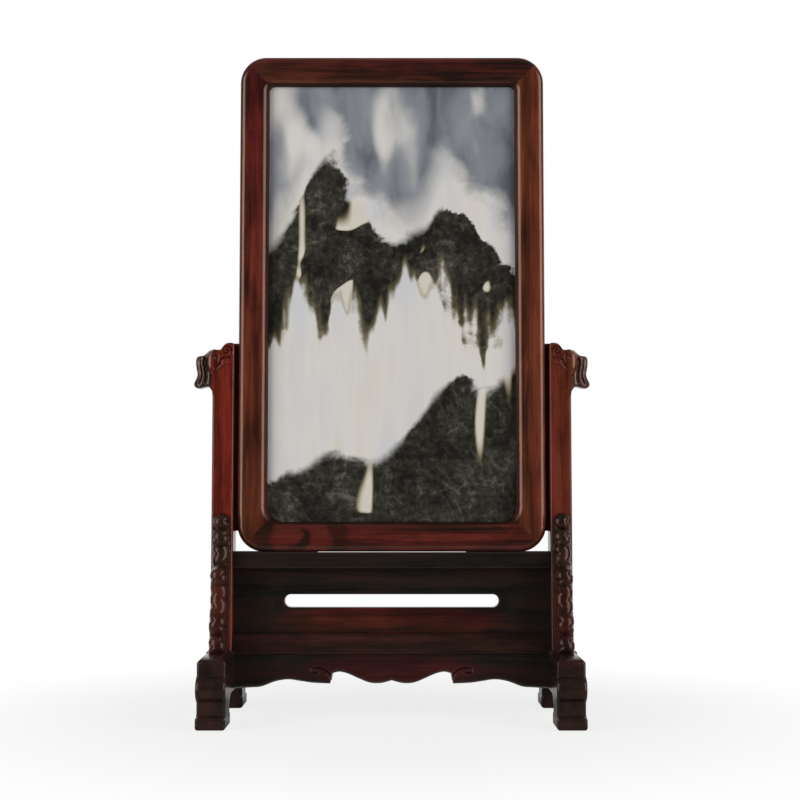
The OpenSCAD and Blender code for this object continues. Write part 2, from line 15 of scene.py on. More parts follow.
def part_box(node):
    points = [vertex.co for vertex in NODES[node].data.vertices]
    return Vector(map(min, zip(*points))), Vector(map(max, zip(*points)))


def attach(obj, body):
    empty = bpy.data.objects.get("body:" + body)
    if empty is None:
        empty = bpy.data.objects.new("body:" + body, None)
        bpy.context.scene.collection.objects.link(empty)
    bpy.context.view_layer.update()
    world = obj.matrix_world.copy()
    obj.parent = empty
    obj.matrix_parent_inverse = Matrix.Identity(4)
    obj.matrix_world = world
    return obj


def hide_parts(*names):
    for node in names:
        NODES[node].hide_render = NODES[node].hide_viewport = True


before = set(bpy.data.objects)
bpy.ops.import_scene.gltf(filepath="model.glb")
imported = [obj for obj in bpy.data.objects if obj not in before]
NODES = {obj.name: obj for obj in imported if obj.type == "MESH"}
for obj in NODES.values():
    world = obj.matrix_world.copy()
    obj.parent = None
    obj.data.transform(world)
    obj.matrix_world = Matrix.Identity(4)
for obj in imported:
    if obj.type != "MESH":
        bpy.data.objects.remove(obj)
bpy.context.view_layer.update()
MM = 0.001


def mm(*values):
    """Lengths given in millimetres."""
    return tuple(value * MM for value in values)


SIDES = {"left": -1, "right": 1}
ENDS = {"front": -1, "rear": 1}
FOOT_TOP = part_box("right_foot")[1].z


# Node trees

class Tree:
    """Short calls for building the node tree of a material or of the world."""

    def __init__(self, owner):
        owner.use_nodes = True
        self.owner = owner
        self.nodes = owner.node_tree.nodes
        self.links = owner.node_tree.links

    def add(self, kind, settings=None, **inputs):
        node = self.nodes.new(f"ShaderNode{kind}")
        for key, value in (settings or {}).items():
            setattr(node, key, value)
        for key, value in inputs.items():
            self.feed(node.inputs[key.replace("_", " ")], value)
        return node

    def feed(self, socket, value):
        if isinstance(value, bpy.types.NodeSocket):
            self.links.new(value, socket)
        else:
            socket.default_value = value

    def fill(self, node, *values):
        """Feeds the inputs of a node in order and gives its outputs."""
        for socket, value in zip(node.inputs, values):
            self.feed(socket, value)
        return node.outputs

    def math(self, operation, *values):
        return self.fill(self.add("Math", {"operation": operation}), *values)[0]

    def times(self, *values):
        return self.math("MULTIPLY", *values)

    def minus(self, *values):
        return self.math("SUBTRACT", *values)

    def vector(self, operation, *values):
        outputs = self.fill(self.add("VectorMath", {"operation": operation}), *values)
        return outputs["Value"] if operation == "LENGTH" else outputs[0]

    def coordinates(self):
        return self.add("TexCoord").outputs["Object"]

    def split(self, vector):
        return self.add("SeparateXYZ", Vector=vector).outputs

    def noise(self, vector, scale, detail=2.0, roughness=0.5, distortion=0.0, output="Fac"):
        node = self.add("TexNoise", Vector=vector, Scale=scale, Detail=detail,
                        Roughness=roughness, Distortion=distortion)
        return node.outputs[output]

    def noises(self, vector, kinds):
        return [self.noise(vector, *kind) for kind in kinds]

    def remap(self, value, low, high, to_low=0.0, to_high=1.0):
        node = self.add("MapRange", {"interpolation_type": "SMOOTHSTEP"})
        return self.fill(node, value, low, high, to_low, to_high)[0]

    def swing(self, base, *parts):
        """The base, plus the swing of each noise about a half times its weight."""
        for value, weight in parts:
            base = self.math("MULTIPLY_ADD", self.minus(value, 0.5), weight, base)
        return base

    def ramp(self, value, stops):
        node = self.add("ValToRGB", Fac=value)
        elements = node.color_ramp.elements
        while len(elements) < len(stops):
            elements.new(0.5)
        for element, (position, colour) in zip(elements, stops):
            element.position = position
            element.color = (*colour, 1.0)
        return node.outputs["Color"]

    def mix(self, factor, first, second):
        node = self.add("Mix", {"data_type": "RGBA"})
        self.feed(node.inputs["Factor"], factor)
        for socket, colour in ((node.inputs[6], first), (node.inputs[7], second)):
            self.feed(socket, colour if isinstance(colour, bpy.types.NodeSocket) else (*colour, 1.0))
        return node.outputs[2]

    def curve(self, value, points):
        node = self.add("FloatCurve", Value=value)
        line = node.mapping.curves[0]
        while len(line.points) < len(points):
            line.points.new(0.5, 0.5)
        for point, place in zip(line.points, points):
            point.location = place
        node.mapping.update()
        return node.outputs["Value"]

    def set(self, **inputs):
        for key, value in inputs.items():
            self.feed(self.nodes["Principled BSDF"].inputs[key.replace("_", " ")], value)

    def bump(self, height, strength, distance):
        self.set(Normal=self.add("Bump", Height=height, Strength=strength,
                                 Distance=distance).outputs["Normal"])


def new_material(name):
    return Tree(bpy.data.materials.new(name))


# Wood

# Tones of each kind of wood from dark to light, in linear light
TOP_RAIL_TONES = (
    (0.0135, 0.0068, 0.0053), (0.038, 0.011, 0.0084), (0.072, 0.0152, 0.0116), (0.122, 0.0238, 0.016))
RAIL_TONES = (
    (0.0135, 0.0068, 0.0044), (0.038, 0.0118, 0.0072), (0.072, 0.0182, 0.0106), (0.122, 0.0295, 0.015))
STILE_TONES = (
    (0.027, 0.0066, 0.0053), (0.06, 0.0118, 0.0084), (0.1, 0.0184, 0.0124), (0.152, 0.03, 0.0185))
LEFT_POST_TONES = (
    (0.022, 0.0046, 0.0044), (0.056, 0.0058, 0.006), (0.102, 0.0078, 0.0078), (0.17, 0.013, 0.0118))
RIGHT_POST_TONES = (
    (0.038, 0.009, 0.0055), (0.076, 0.016, 0.0092), (0.108, 0.023, 0.013), (0.145, 0.032, 0.018))
CARVED_TONES = (
    (0.0085, 0.0055, 0.0046), (0.017, 0.008, 0.0066), (0.028, 0.0105, 0.0086), (0.045, 0.014, 0.011))
STAND_TONES = (
    (0.007, 0.0072, 0.0062), (0.0112, 0.0104, 0.009), (0.0174, 0.0117, 0.0101), (0.027, 0.0126, 0.0107))
FOOT_TONES = (
    (0.0085, 0.0064, 0.0057), (0.0142, 0.009, 0.0079), (0.0215, 0.0106, 0.0092), (0.035, 0.0125, 0.0106))
FINIAL_TONES = (
    (0.018, 0.0098, 0.0078), (0.036, 0.0175, 0.0142), (0.058, 0.027, 0.0215), (0.09, 0.042, 0.034))
APRON_TONES = (
    (0.0135, 0.007, 0.0062), (0.025, 0.0088, 0.0076), (0.037, 0.0108, 0.0094), (0.051, 0.0132, 0.0114))
WARM_TONES = (
    (0.015, 0.0062, 0.0052), (0.03, 0.008, 0.0064), (0.048, 0.0102, 0.008), (0.072, 0.0145, 0.0105))
BACK_TONES = (
    (0.05, 0.024, 0.014), (0.105, 0.052, 0.03), (0.155, 0.082, 0.049), (0.21, 0.115, 0.07))
TONE_STOPS = (0.12, 0.38, 0.62, 0.9)
LACQUER_TINT = (1.0, 0.74, 0.6, 1.0)
# Strength of the shine of the wood and of its clear coat
GLOSSY = (0.5, 0.06)
SOFT = (0.36, 0.05)
DULL = (0.24, 0.04)
COAT_ROUGHNESS = 0.08
# Roughness of lacquer: how much the fibres add, and its base
LACQUER_ROUGHNESS = (0.1, 0.17)
BARE_ROUGHNESS = 0.9
BARE_FADE = 0.1 * MM
# Strength and height of the bumps in lacquer, and the shares of fibres and pores in them
LACQUER_BUMP = (0.35, 0.4 * MM)
FIBRE_BUMP = 0.05
PORE_BUMP = -0.06
# Noises, each with scale, detail, roughness and distortion: bands, streaks, fibres, pores and warmth
GRAIN_NOISES = (
    (62.0, 2.0, 0.5, 0.5), (330.0, 4.0, 0.62, 0.3), (2400.0, 2.0, 0.6), (1500.0, 1.0), (28.0, 2.0))
CLOUD_NOISE = (85.0, 2.0, 0.5, 0.6)
WAVE_NOISE = (90.0, 2.0)
STRAY_NOISE = (70.0, 3.0)
# Weights of bands, clouds, streaks, fibres and growth lines in the shade of rosewood
SHADE_WEIGHTS = (1.5, 1.1, 0.8, 0.25, 0.14)
LINES_PER_BAND = 9.0
LINE_EDGE = (0.0, 0.8)
PORE_EDGE = (0.66, 0.74)
PORE_DARKNESS = 0.5
WARMTH_SWING = 0.1
PATCH_WOBBLE = 8 * MM
PATCH_FADE = (1.0, 0.55)
# How far a surface bends out or in where its edges are lighter, partly rubbed wear and partly a painted
# highlight, and where shade is painted in its hollows; flat is 0.5
RUBBED_GLINT_BEND = (0.515, 0.56)
HOLLOW_SHADE_BEND = (0.498, 0.465)
# Weak and strong streaks, and how far the lighter edges, rubbed wear with a painted highlight, reach there
RUBBED_GLINT_STREAKS = (0.35, 0.6, 0.1, 0.5)
# Strength and tone of the shade painted in hollows
HOLLOW_SHADE_DARKNESS = 0.85
HOLLOW_SHADE_TONE = (0.0042, 0.0027, 0.0023)
ALONG_SHARE = 0.05
# Clouds of tone in the wood run out less far along the grain
CLOUD_STRETCH = {axis: [5.0 if axis == other else 1.0 for other in "XYZ"] for axis in "XYZ"}
SEED_STEP = Vector((0.371, 0.733, 0.192))
# Rings round a knot: outer and inner edge in shares of its reach, shade and weight
KNOT_RINGS = ((4.6, 2.9, 0.2, 0.75), (3.0, 0.0, 0.7, 0.75))
KNOT_WOBBLE = 15 * MM
KNOT_FADE = 0.5
KNOT_STREAKS = 0.8
# The dark crescent of a knot lies on the side away from this shift
KNOT_SHIFT = Vector((-0.62, 0.0, 0.34))
CRESCENT_RIM = (1.3, 0.8)
CRESCENT_CORE = (0.6, 1.1)
CRESCENT_SHADE = 0.12
CRESCENT_WEIGHT = 0.9
CRESCENT_STREAKS = 0.9
# How far the lip of the frame covers the edges of the stone
LIP_COVER = 6.5 * MM
# Reach of the shade painted on the wood of the lip round the stone
LIP_REACH = 3.6 * MM
LIP_CORE = 0.35 * LIP_REACH
# How dark the shade painted on the lip is, and how much it dulls the gloss there
LIP_SHADE_DARKNESS = 0.85
LIP_DULLNESS = 0.8
# Noises, line count, shade weights, roughness and bump of satin wood
SATIN_NOISES = ((45.0, 3.0, 0.55, 0.8), (1600.0, 3.0, 0.65))
SATIN_LINES_PER_BAND = 14.0
SATIN_WEIGHTS = (1.3, 0.28, 0.4)
SATIN_BASE = 0.45
SATIN_ROUGHNESS = (0.2, 0.42)
SATIN_BUMP = (0.2, 0.2 * MM)


def grain_coordinates(tree, grain, seed):
    """Coordinates squeezed along the grain, so that noise in them runs out into long streaks."""
    scale = [ALONG_SHARE if axis == grain else 1.0 for axis in "XYZ"]
    moved = tree.vector("ADD", tree.coordinates(), SEED_STEP * seed)
    return tree.vector("MULTIPLY", moved, scale)


def reach_from(tree, middle, reach, wobble):
    """Distance from a middle in shares of a reach, with a wandering edge."""
    place = tree.coordinates()
    stray = tree.vector("SUBTRACT", tree.noise(place, *STRAY_NOISE, output="Color"), (0.5, 0.5, 0.5))
    place = tree.vector("ADD", place, tree.vector("MULTIPLY", stray, (wobble,) * 3))
    offset = tree.vector("SUBTRACT", place, middle)
    return tree.vector("LENGTH", tree.vector("MULTIPLY", offset, [1.0 / item for item in reach]))


def painted_lip_shade(tree):
    """How much shade is painted on the wood next to the stone, from 1 at the edge of the opening down to 0.
    """
    low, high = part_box("marble_panel")
    middle, half = (low + high) / 2, (high - low) / 2 - Vector((LIP_COVER, 0.0, LIP_COVER))
    x, _, z = tree.split(tree.coordinates())
    outside_x = tree.minus(tree.math("ABSOLUTE", x), half.x)
    outside_z = tree.minus(tree.math("ABSOLUTE", tree.minus(z, middle.z)), half.z)
    return tree.remap(tree.math("MAXIMUM", outside_x, outside_z), LIP_REACH, LIP_CORE)


def mix_values(tree, factor, first, second):
    return tree.math("MULTIPLY_ADD", tree.minus(second, first), factor, first)


def add_knot(tree, shade, streaks, middle, reach):
    """The shade of the wood with a knot in it."""
    outer = reach_from(tree, middle, reach, KNOT_WOBBLE)
    inner_middle = [m + s * r for m, s, r in zip(middle, KNOT_SHIFT, reach)]
    inner = reach_from(tree, inner_middle, reach, KNOT_WOBBLE)
    for rim, core, tone, weight in KNOT_RINGS:
        ring = tree.times(tree.remap(outer, rim, rim - KNOT_FADE), tree.remap(outer, core - KNOT_FADE, core))
        ring_shade = tree.swing(tone, (streaks, KNOT_STREAKS))
        shade = mix_values(tree, tree.times(ring, weight), shade, ring_shade)
    crescent = tree.times(tree.remap(outer, *CRESCENT_RIM), tree.remap(inner, *CRESCENT_CORE))
    crescent_shade = tree.swing(CRESCENT_SHADE, (streaks, CRESCENT_STREAKS))
    return mix_values(tree, tree.times(crescent, CRESCENT_WEIGHT), shade, crescent_shade)


def add_wear_glint_and_shade(tree, colour, streaks, hollow_shade_tone, rubbed_glint_tone):
    """The colour with lighter edges, partly rubbed wear and partly a painted highlight, and shade painted in
    its hollows.
    """
    bend = tree.add("NewGeometry").outputs["Pointiness"]
    rubbed_glint = tree.times(tree.remap(bend, *RUBBED_GLINT_BEND), tree.remap(streaks, *RUBBED_GLINT_STREAKS))
    colour = tree.mix(rubbed_glint, colour, rubbed_glint_tone)
    return tree.mix(tree.remap(bend, *HOLLOW_SHADE_BEND, 0.0, HOLLOW_SHADE_DARKNESS), colour, hollow_shade_tone)


def rosewood(name, grain, tones, seed, shine=GLOSSY, patch=None, knot=None, lip=False,
             bare_above=None, worn_and_shaded=None):
    """Lacquered rosewood: broad bands, growth lines, streaks and fine open pores along the grain.

    A patch is a set of other tones with its middle and reach; a knot is its middle and reach; a lip
    paints shade on the wood close to the stone and dulls its gloss there; the wood is bare and rough above
    the height bare_above; the last argument holds the tone of the shade painted in its hollows and the
    tone of its lighter edges, which are partly rubbed wear and partly a painted highlight.
    """
    tree = new_material(f"{name}_wood")
    place = grain_coordinates(tree, grain, seed)
    bands, streaks, fibres, pores, warmth = tree.noises(place, GRAIN_NOISES)
    pores = tree.remap(pores, *PORE_EDGE)
    lines = tree.remap(tree.math("FRACT", tree.times(bands, LINES_PER_BAND)), *LINE_EDGE)
    clouds = tree.noise(tree.vector("MULTIPLY", place, CLOUD_STRETCH[grain]), *CLOUD_NOISE)
    shade = tree.swing(0.5, *zip((bands, clouds, streaks, fibres, lines), SHADE_WEIGHTS))
    if knot:
        shade = add_knot(tree, shade, streaks, *knot)
    colour = tree.ramp(shade, list(zip(TONE_STOPS, tones)))
    if patch:
        patch_tones, middle, reach = patch
        weight = tree.remap(reach_from(tree, middle, reach, PATCH_WOBBLE), *PATCH_FADE)
        colour = tree.mix(weight, colour, tree.ramp(shade, list(zip(TONE_STOPS, patch_tones))))
    hue = tree.swing(0.5, (warmth, WARMTH_SWING))
    colour = tree.add("HueSaturation", Hue=hue, Color=colour).outputs["Color"]
    colour = tree.mix(tree.times(pores, PORE_DARKNESS), colour, tones[0])
    # Lighter edges, partly rubbed wear and partly a painted highlight, and painted shade in the hollows
    if worn_and_shaded:
        colour = add_wear_glint_and_shade(tree, colour, streaks, *worn_and_shaded)
    gloss = shine[0]
    # Painted shade on the wood of the lip next to the stone, with duller gloss there
    if lip:
        shadow = painted_lip_shade(tree)
        colour = tree.mix(tree.times(shadow, LIP_SHADE_DARKNESS), colour, tones[0])
        gloss = tree.math("MULTIPLY_ADD", shadow, -LIP_DULLNESS * gloss, gloss)
    roughness = tree.math("MULTIPLY_ADD", fibres, *LACQUER_ROUGHNESS)
    if bare_above:
        height = tree.split(tree.coordinates())[2]
        roughness = tree.remap(height, bare_above, bare_above + BARE_FADE, roughness, BARE_ROUGHNESS)
    waves = tree.noise(tree.coordinates(), *WAVE_NOISE)
    tree.set(Base_Color=colour, Roughness=roughness, Specular_IOR_Level=gloss, Specular_Tint=LACQUER_TINT,
             Coat_Weight=shine[1], Coat_Roughness=COAT_ROUGHNESS)
    tree.bump(tree.swing(waves, (fibres, FIBRE_BUMP), (pores, PORE_BUMP)), *LACQUER_BUMP)
    return tree.owner


def satin_wood(name, grain, tones, seed):
    """Unlacquered board with a satin surface."""
    tree = new_material(name)
    place = grain_coordinates(tree, grain, seed)
    bands, fibres = tree.noises(place, SATIN_NOISES)
    lines = tree.math("FRACT", tree.times(bands, SATIN_LINES_PER_BAND))
    shade = tree.swing(SATIN_BASE, *zip((bands, lines, fibres), SATIN_WEIGHTS))
    tree.set(Base_Color=tree.ramp(shade, list(zip(TONE_STOPS, tones))),
             Roughness=tree.math("MULTIPLY_ADD", fibres, *SATIN_ROUGHNESS))
    tree.bump(fibres, *SATIN_BUMP)
    return tree.owner


# Metal and stone

BLOOM_NOISE = (700.0, 4.0, 0.6)
BRASS_RAMP = ((0.3, (0.3, 0.18, 0.06)), (0.7, (0.56, 0.37, 0.13)))
BRASS_ROUGHNESS = (0.3, 0.22)
BRASS_BUMP = (0.2, 0.1 * MM)


def aged_brass(name):
    """Brass with a dull brown bloom."""
    tree = new_material(name)
    bloom = tree.noise(tree.coordinates(), *BLOOM_NOISE)
    tree.set(Base_Color=tree.ramp(bloom, BRASS_RAMP),
             Roughness=tree.math("MULTIPLY_ADD", bloom, *BRASS_ROUGHNESS), Metallic=1.0)
    tree.bump(bloom, *BRASS_BUMP)
    return tree.owner


# Colours of the stone, in linear light
STONE_WHITE = (0.622, 0.62, 0.61)
COOL = (0.56, 0.58, 0.612)
CREAM = (0.595, 0.578, 0.52)
PALE_SLATE = (0.262, 0.284, 0.318)
SLATE = (0.188, 0.21, 0.244)
DUSK = (0.098, 0.111, 0.132)
INK = (0.0085, 0.0084, 0.0066)
PEAT = (0.0225, 0.0218, 0.017)
MOSS = (0.04, 0.038, 0.0305)
LICHEN = (0.115, 0.11, 0.096)
STAIN = (0.2, 0.175, 0.095)

# Edges of the ridges from left to right, in shares of the stone's width and height
FAR_RIDGE_TOP = (
    (0, 0.6), (0.1, 0.66), (0.2, 0.79), (0.27, 0.82), (0.36, 0.73), (0.5, 0.64), (0.62, 0.66),
    (0.72, 0.72), (0.8, 0.66), (1, 0.55))
FAR_RIDGE_FOOT = ((0, 0.43), (0.2, 0.5), (0.4, 0.46), (0.6, 0.53), (0.8, 0.47), (1, 0.44))
NEAR_RIDGE_TOP = (
    (0, 0.1), (0.15, 0.13), (0.3, 0.17), (0.45, 0.15), (0.6, 0.24), (0.75, 0.33), (0.86, 0.31),
    (1, 0.37))

# The clouds of the stone are drawn out along its height, and its drips further still
FLOW = (1.0, 1.0, 0.42)
FALL = (1.0, 1.0, 0.16)

# Noises of the stone: broad, ragged, grit and cracks; haze and smoke; drips and lenses
EVEN_NOISES = ((11.0, 2.0), (34.0, 5.0, 0.6, 0.4), (190.0, 6.0, 0.7), (26.0, 4.0, 0.55, 0.8))
FLOW_NOISES = ((17.0, 2.0, 0.45, 0.25), (43.0, 3.0, 0.5, 0.5))
FALL_NOISES = ((75.0, 1.5, 0.5), (46.0, 0.0))

# Where each colour of the stone starts and ends, in values of noises and shares of height
SLATE_RAMP = ((0.3, DUSK), (0.48, SLATE), (0.72, PALE_SLATE))
MIST_RAMP = ((0.3, COOL), (0.58, STONE_WHITE), (0.92, CREAM))
DARK_RAMP = ((0.1, INK), (0.36, PEAT), (0.56, MOSS), (1.0, LICHEN))
WHITE_CLOUDS = (0.55, 0.67)
VEIN_EDGE = (0.03, 0.0)
SLIVER_PLACES = (0.4, 0.52)
SLIVER_RIM = (0.6, 0.625)
SLIVER_CORE = (0.612, 0.645)
RIDGE_SOFTNESS = (0.42, 0.6, 0.005, 0.02)
SKY_FOOT = (0.14, 0.02)
STAIN_EDGE = (0.035, 0.0)
STAIN_WEIGHT = 0.55
MIST_EDGE = (0.012, -0.016)
STONE_GLOSS = 0.4
STONE_BUMP = (0.03, 0.1 * MM)


def stone_shares(tree, place):
    """How far across and up the stone a place lies, from 0 to 1."""
    low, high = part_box("marble_panel")
    parts = tree.split(place)
    return [tree.math("DIVIDE", tree.minus(parts[k], low[k]), high[k] - low[k]) for k in (0, 2)]


def landscape_marble(name):
    """Polished marble whose dark clouds lie like ridges, with slate above and pale mist between."""
    tree = new_material(name)
    place = tree.coordinates()
    across, up = stone_shares(tree, place)
    broad, ragged, grit, cracks = tree.noises(place, EVEN_NOISES)
    haze, smoke = tree.noises(tree.vector("MULTIPLY", place, FLOW), FLOW_NOISES)
    drips, lenses = tree.noises(tree.vector("MULTIPLY", place, FALL), FALL_NOISES)

    slate = tree.ramp(tree.swing(smoke, (haze, 0.5)), SLATE_RAMP)
    sky = tree.mix(tree.remap(tree.swing(haze, (smoke, 0.12)), *WHITE_CLOUDS), slate, STONE_WHITE)
    mist = tree.ramp(tree.swing(drips, (haze, 0.9)), MIST_RAMP)
    vein = tree.remap(tree.math("ABSOLUTE", tree.minus(cracks, 0.5)), *VEIN_EDGE)
    mottle = tree.swing(0.46, (grit, 1.7), (ragged, 1.5), (smoke, 0.6), (vein, 0.22))
    dark = tree.ramp(mottle, DARK_RAMP)
    sliver = tree.times(lenses, tree.remap(broad, *SLIVER_PLACES))
    dark = tree.mix(tree.remap(sliver, *SLIVER_RIM), dark, STAIN)
    dark = tree.mix(tree.remap(sliver, *SLIVER_CORE), dark, CREAM)

    shifted = tree.swing(across, (ragged, 0.16), (broad, 0.1))
    level = tree.swing(up, (ragged, 0.1), (grit, 0.014))
    above_far = tree.minus(level, tree.curve(shifted, FAR_RIDGE_TOP))
    hanging = tree.swing(level, (drips, 0.34))
    above_foot = tree.minus(hanging, tree.curve(shifted, FAR_RIDGE_FOOT))
    above_near = tree.minus(level, tree.curve(shifted, NEAR_RIDGE_TOP))

    soft = tree.remap(broad, *RIDGE_SOFTNESS)
    blur = tree.times(soft, -1.0)
    under_sky = tree.remap(tree.swing(above_far, (broad, 0.35), (haze, 0.2)), *SKY_FOOT)
    colour = tree.mix(under_sky, sky, mist)
    colour = tree.mix(tree.remap(above_far, soft, blur), colour, dark)
    stained = tree.times(tree.remap(above_foot, *STAIN_EDGE), STAIN_WEIGHT)
    colour = tree.mix(stained, colour, STAIN)
    colour = tree.mix(tree.remap(above_foot, *MIST_EDGE), colour, mist)
    colour = tree.mix(tree.remap(above_near, soft, blur), colour, dark)
    tree.set(Base_Color=colour, Roughness=tree.swing(0.3, (grit, 0.1)), Specular_IOR_Level=STONE_GLOSS)
    tree.bump(grit, *STONE_BUMP)
    return tree.owner


# Outlines

CURVE_STEPS = 16
PATH_STEP = 0.4 * MM
# Points per turn of a spiral, and how far it closes in
SPIRAL_POINTS = 28
SPIRAL_CLOSE = 0.88
# How many points are measured at once
CHUNK = 2000


def smooth_points(run, spacing):
    """Evenly spaced points on the smooth curve through the points of a run."""
    points = np.array(run, float)
    if len(points) > 2:
        padded = np.vstack([points[:1], points, points[-1:]])
        share = np.linspace(0.0, 1.0, CURVE_STEPS, endpoint=False)[:, None]
        pieces = []
        for a, b, c, d in zip(padded, padded[1:], padded[2:], padded[3:]):
            pieces.append((2 * b + (c - a) * share + (2 * a - 5 * b + 4 * c - d) * share ** 2
                           + (3 * b - a - 3 * c + d) * share ** 3) / 2)
        points = np.vstack(pieces + [points[-1:]])
    steps = np.linalg.norm(np.diff(points, axis=0), axis=1)
    along = np.concatenate([[0.0], np.cumsum(steps)])
    count = max(2, int(round(along[-1] / spacing)) + 1)
    places = np.linspace(0.0, along[-1], count)
    return np.column_stack([np.interp(places, along, points[:, k]) for k in (0, 1)])


def outline(runs, size, spacing):
    """Smooth runs end to end, given in shares of a size that they fill; the runs meet at cusps."""
    pieces = [smooth_points(np.array(run) * size, spacing) for run in runs]
    points = np.vstack([piece[:-1] for piece in pieces] + [pieces[-1][-1:]])
    return points * np.abs(size) / np.abs(points).max(axis=0)


def straight(corners, spacing):
    """Evenly spaced points along straight lines from corner to corner."""
    pieces = [smooth_points(pair, spacing)[:-1] for pair in zip(corners, corners[1:])]
    return np.vstack(pieces + [np.array(corners[-1:], float)])


def arc(middle, radius, start, end, spacing):
    """Points along an arc, with its angles in degrees."""
    count = max(3, int(abs(math.radians(end - start)) * radius / spacing) + 1)
    angles = np.radians(np.linspace(start, end, count))
    return np.column_stack([middle[0] + radius * np.cos(angles), middle[1] + radius * np.sin(angles)])


def distance_to(path, points):
    """Distance of each point from a path of straight pieces."""
    a, b = path[:-1], path[1:]
    step = b - a
    length = np.maximum((step ** 2).sum(1), 1e-18)
    best = np.full(len(points), np.inf)
    for start in range(0, len(points), CHUNK):
        part = points[start:start + CHUNK, None, :] - a[None]
        share = np.clip((part * step[None]).sum(2) / length[None], 0.0, 1.0)
        gap = part - share[..., None] * step[None]
        best[start:start + CHUNK] = np.sqrt((gap ** 2).sum(2)).min(1)
    return best


def distance_to_any(paths, points):
    return np.min([distance_to(path, points) for path in paths], axis=0)


def is_inside(rim, points):
    """Whether each point lies inside a closed rim."""
    a, b = rim, np.roll(rim, -1, axis=0)
    result = np.zeros(len(points), bool)
    for (ax, ay), (bx, by) in zip(a, b):
        if ay == by:
            continue
        crosses = (ay > points[:, 1]) != (by > points[:, 1])
        result ^= crosses & (points[:, 0] < (bx - ax) * (points[:, 1] - ay) / (by - ay) + ax)
    return result


def signed_area(rim):
    x, y = rim[:, 0], rim[:, 1]
    return 0.5 * float(np.sum(x * np.roll(y, -1) - np.roll(x, -1) * y))


# Carved plates

# Rows of points over a rounded edge, and how far the rows and the grid keep from edges and rim
ROUND_ROWS = 6
ROW_CLEAR = 0.93
GRID_CLEAR = 1.12
RIM_CLEAR = 0.45
ROW_SHARE = 0.87
MERGE_GAP = 1e-7
SHARP_ANGLE = 38.0


def inward_normals(path, rim_area):
    """Unit normals of a path that point into the plate."""
    steps = np.diff(path, axis=0)
    before, after = np.vstack([steps[:1], steps]), np.vstack([steps, steps[-1:]])
    tangent = sum(item / np.maximum(np.linalg.norm(item, axis=1, keepdims=True), 1e-12)
                  for item in (before, after))
    tangent /= np.maximum(np.linalg.norm(tangent, axis=1, keepdims=True), 1e-9)
    return np.column_stack([-tangent[:, 1], tangent[:, 0]]) * math.copysign(1.0, rim_area)


def round_over(depth, radius):
    """Drop of a face at a depth inside its rounded edge."""
    inner = radius - np.minimum(depth, radius)
    return radius - np.sqrt(np.maximum(radius ** 2 - inner ** 2, 0.0))


def face_points(rim, edges, edge_r, grid):
    """Points that carry the face of a plate inside its rim: rows along its rounded edges and a grid."""
    area = signed_area(rim)
    rows = []
    for edge in edges:
        normals = inward_normals(edge, area)
        for k in range(1, ROUND_ROWS + 1):
            inset = edge_r * (1.0 - math.cos(0.5 * math.pi * k / ROUND_ROWS))
            row = edge + normals * inset
            rows.append(row[is_inside(rim, row) & (distance_to_any(edges, row) > ROW_CLEAR * inset)])
    border = np.vstack([rim, rim[:1]])
    clear = np.median(np.linalg.norm(np.diff(border, axis=0), axis=1)) * RIM_CLEAR
    grid = grid[is_inside(rim, grid)]
    keep = (distance_to_any(edges, grid) > GRID_CLEAR * edge_r) & (distance_to(border, grid) > clear)
    return np.vstack(rows + [grid[keep]])


def even_grid(low, high, spacing):
    """Staggered grid of points over a rectangle."""
    u = np.arange(low[0], high[0], spacing)
    v = np.arange(low[1], high[1], spacing * ROW_SHARE)
    uu, vv = np.meshgrid(u, v)
    uu[1::2] += spacing / 2
    return np.column_stack([uu.ravel(), vv.ravel()])


def carved_plate(name, rim, edges, half_t, edge_r, grid, place, relief, back_relief=None):
    """A closed plate within a rim that rounds over towards its edges, with a relief on both faces.

    The edges are stretches of the rim, place turns (u, v, t) into X, Y and Z, and relief gives the rise
    of a face from its points and their depth inside the edges. The back has the same relief unless given
    another.
    """
    count = len(rim)
    points = [Vector(p) for p in np.vstack([rim, face_points(rim, edges, edge_r, grid)])]
    ring = [(i, (i + 1) % count) for i in range(count)]
    found, _, faces, origins, _, _ = delaunay_2d_cdt(points, ring, [], 1, MERGE_GAP)
    flat = np.array([tuple(p) for p in found])
    u, v = flat[:, 0], flat[:, 1]
    depth = distance_to_any(edges, flat)
    face = half_t - round_over(depth, edge_r)
    front, back = [face + carve(u, v, depth) for carve in (relief, back_relief or relief)]
    corners = np.vstack([np.column_stack(place(u, v, front)), np.column_stack(place(u, v, -back))])
    new_place = {old: new for new, olds in enumerate(origins) for old in olds}
    size = len(flat)
    polygons = [tuple(f) for f in faces] + [tuple(size + i for i in reversed(f)) for f in faces]
    for i, j in ring:
        a, b = new_place[i], new_place[j]
        if a != b:
            polygons.append((b, a, size + a, size + b))
    return mesh_object(f"{name}_carved", corners, polygons)


def new_object(name, data):
    """A new object in the scene."""
    piece = bpy.data.objects.new(name, data)
    bpy.context.scene.collection.objects.link(piece)
    return piece


def mesh_object(name, points, polygons):
    """An object with a closed, smooth-shaded mesh."""
    mesh = bpy.data.meshes.new(name)
    mesh.from_pydata([tuple(p) for p in points], [], polygons)
    work = bmesh.new()
    work.from_mesh(mesh)
    bmesh.ops.recalc_face_normals(work, faces=work.faces)
    work.to_mesh(mesh)
    work.free()
    shade_smooth(mesh)
    return new_object(name, mesh)


def shade_smooth(mesh):
    """Smooth shading with hard edges only where faces turn sharply."""
    mesh.polygons.foreach_set("use_smooth", [True] * len(mesh.polygons))
    mesh.set_sharp_from_angle(angle=math.radians(SHARP_ANGLE))


def groove(u, v, path, width, depth):
    """A soft groove along a path; a negative depth makes a ridge."""
    gap = distance_to(path, np.column_stack([u, v]))
    return -depth * np.exp(-(gap / width) ** 2)


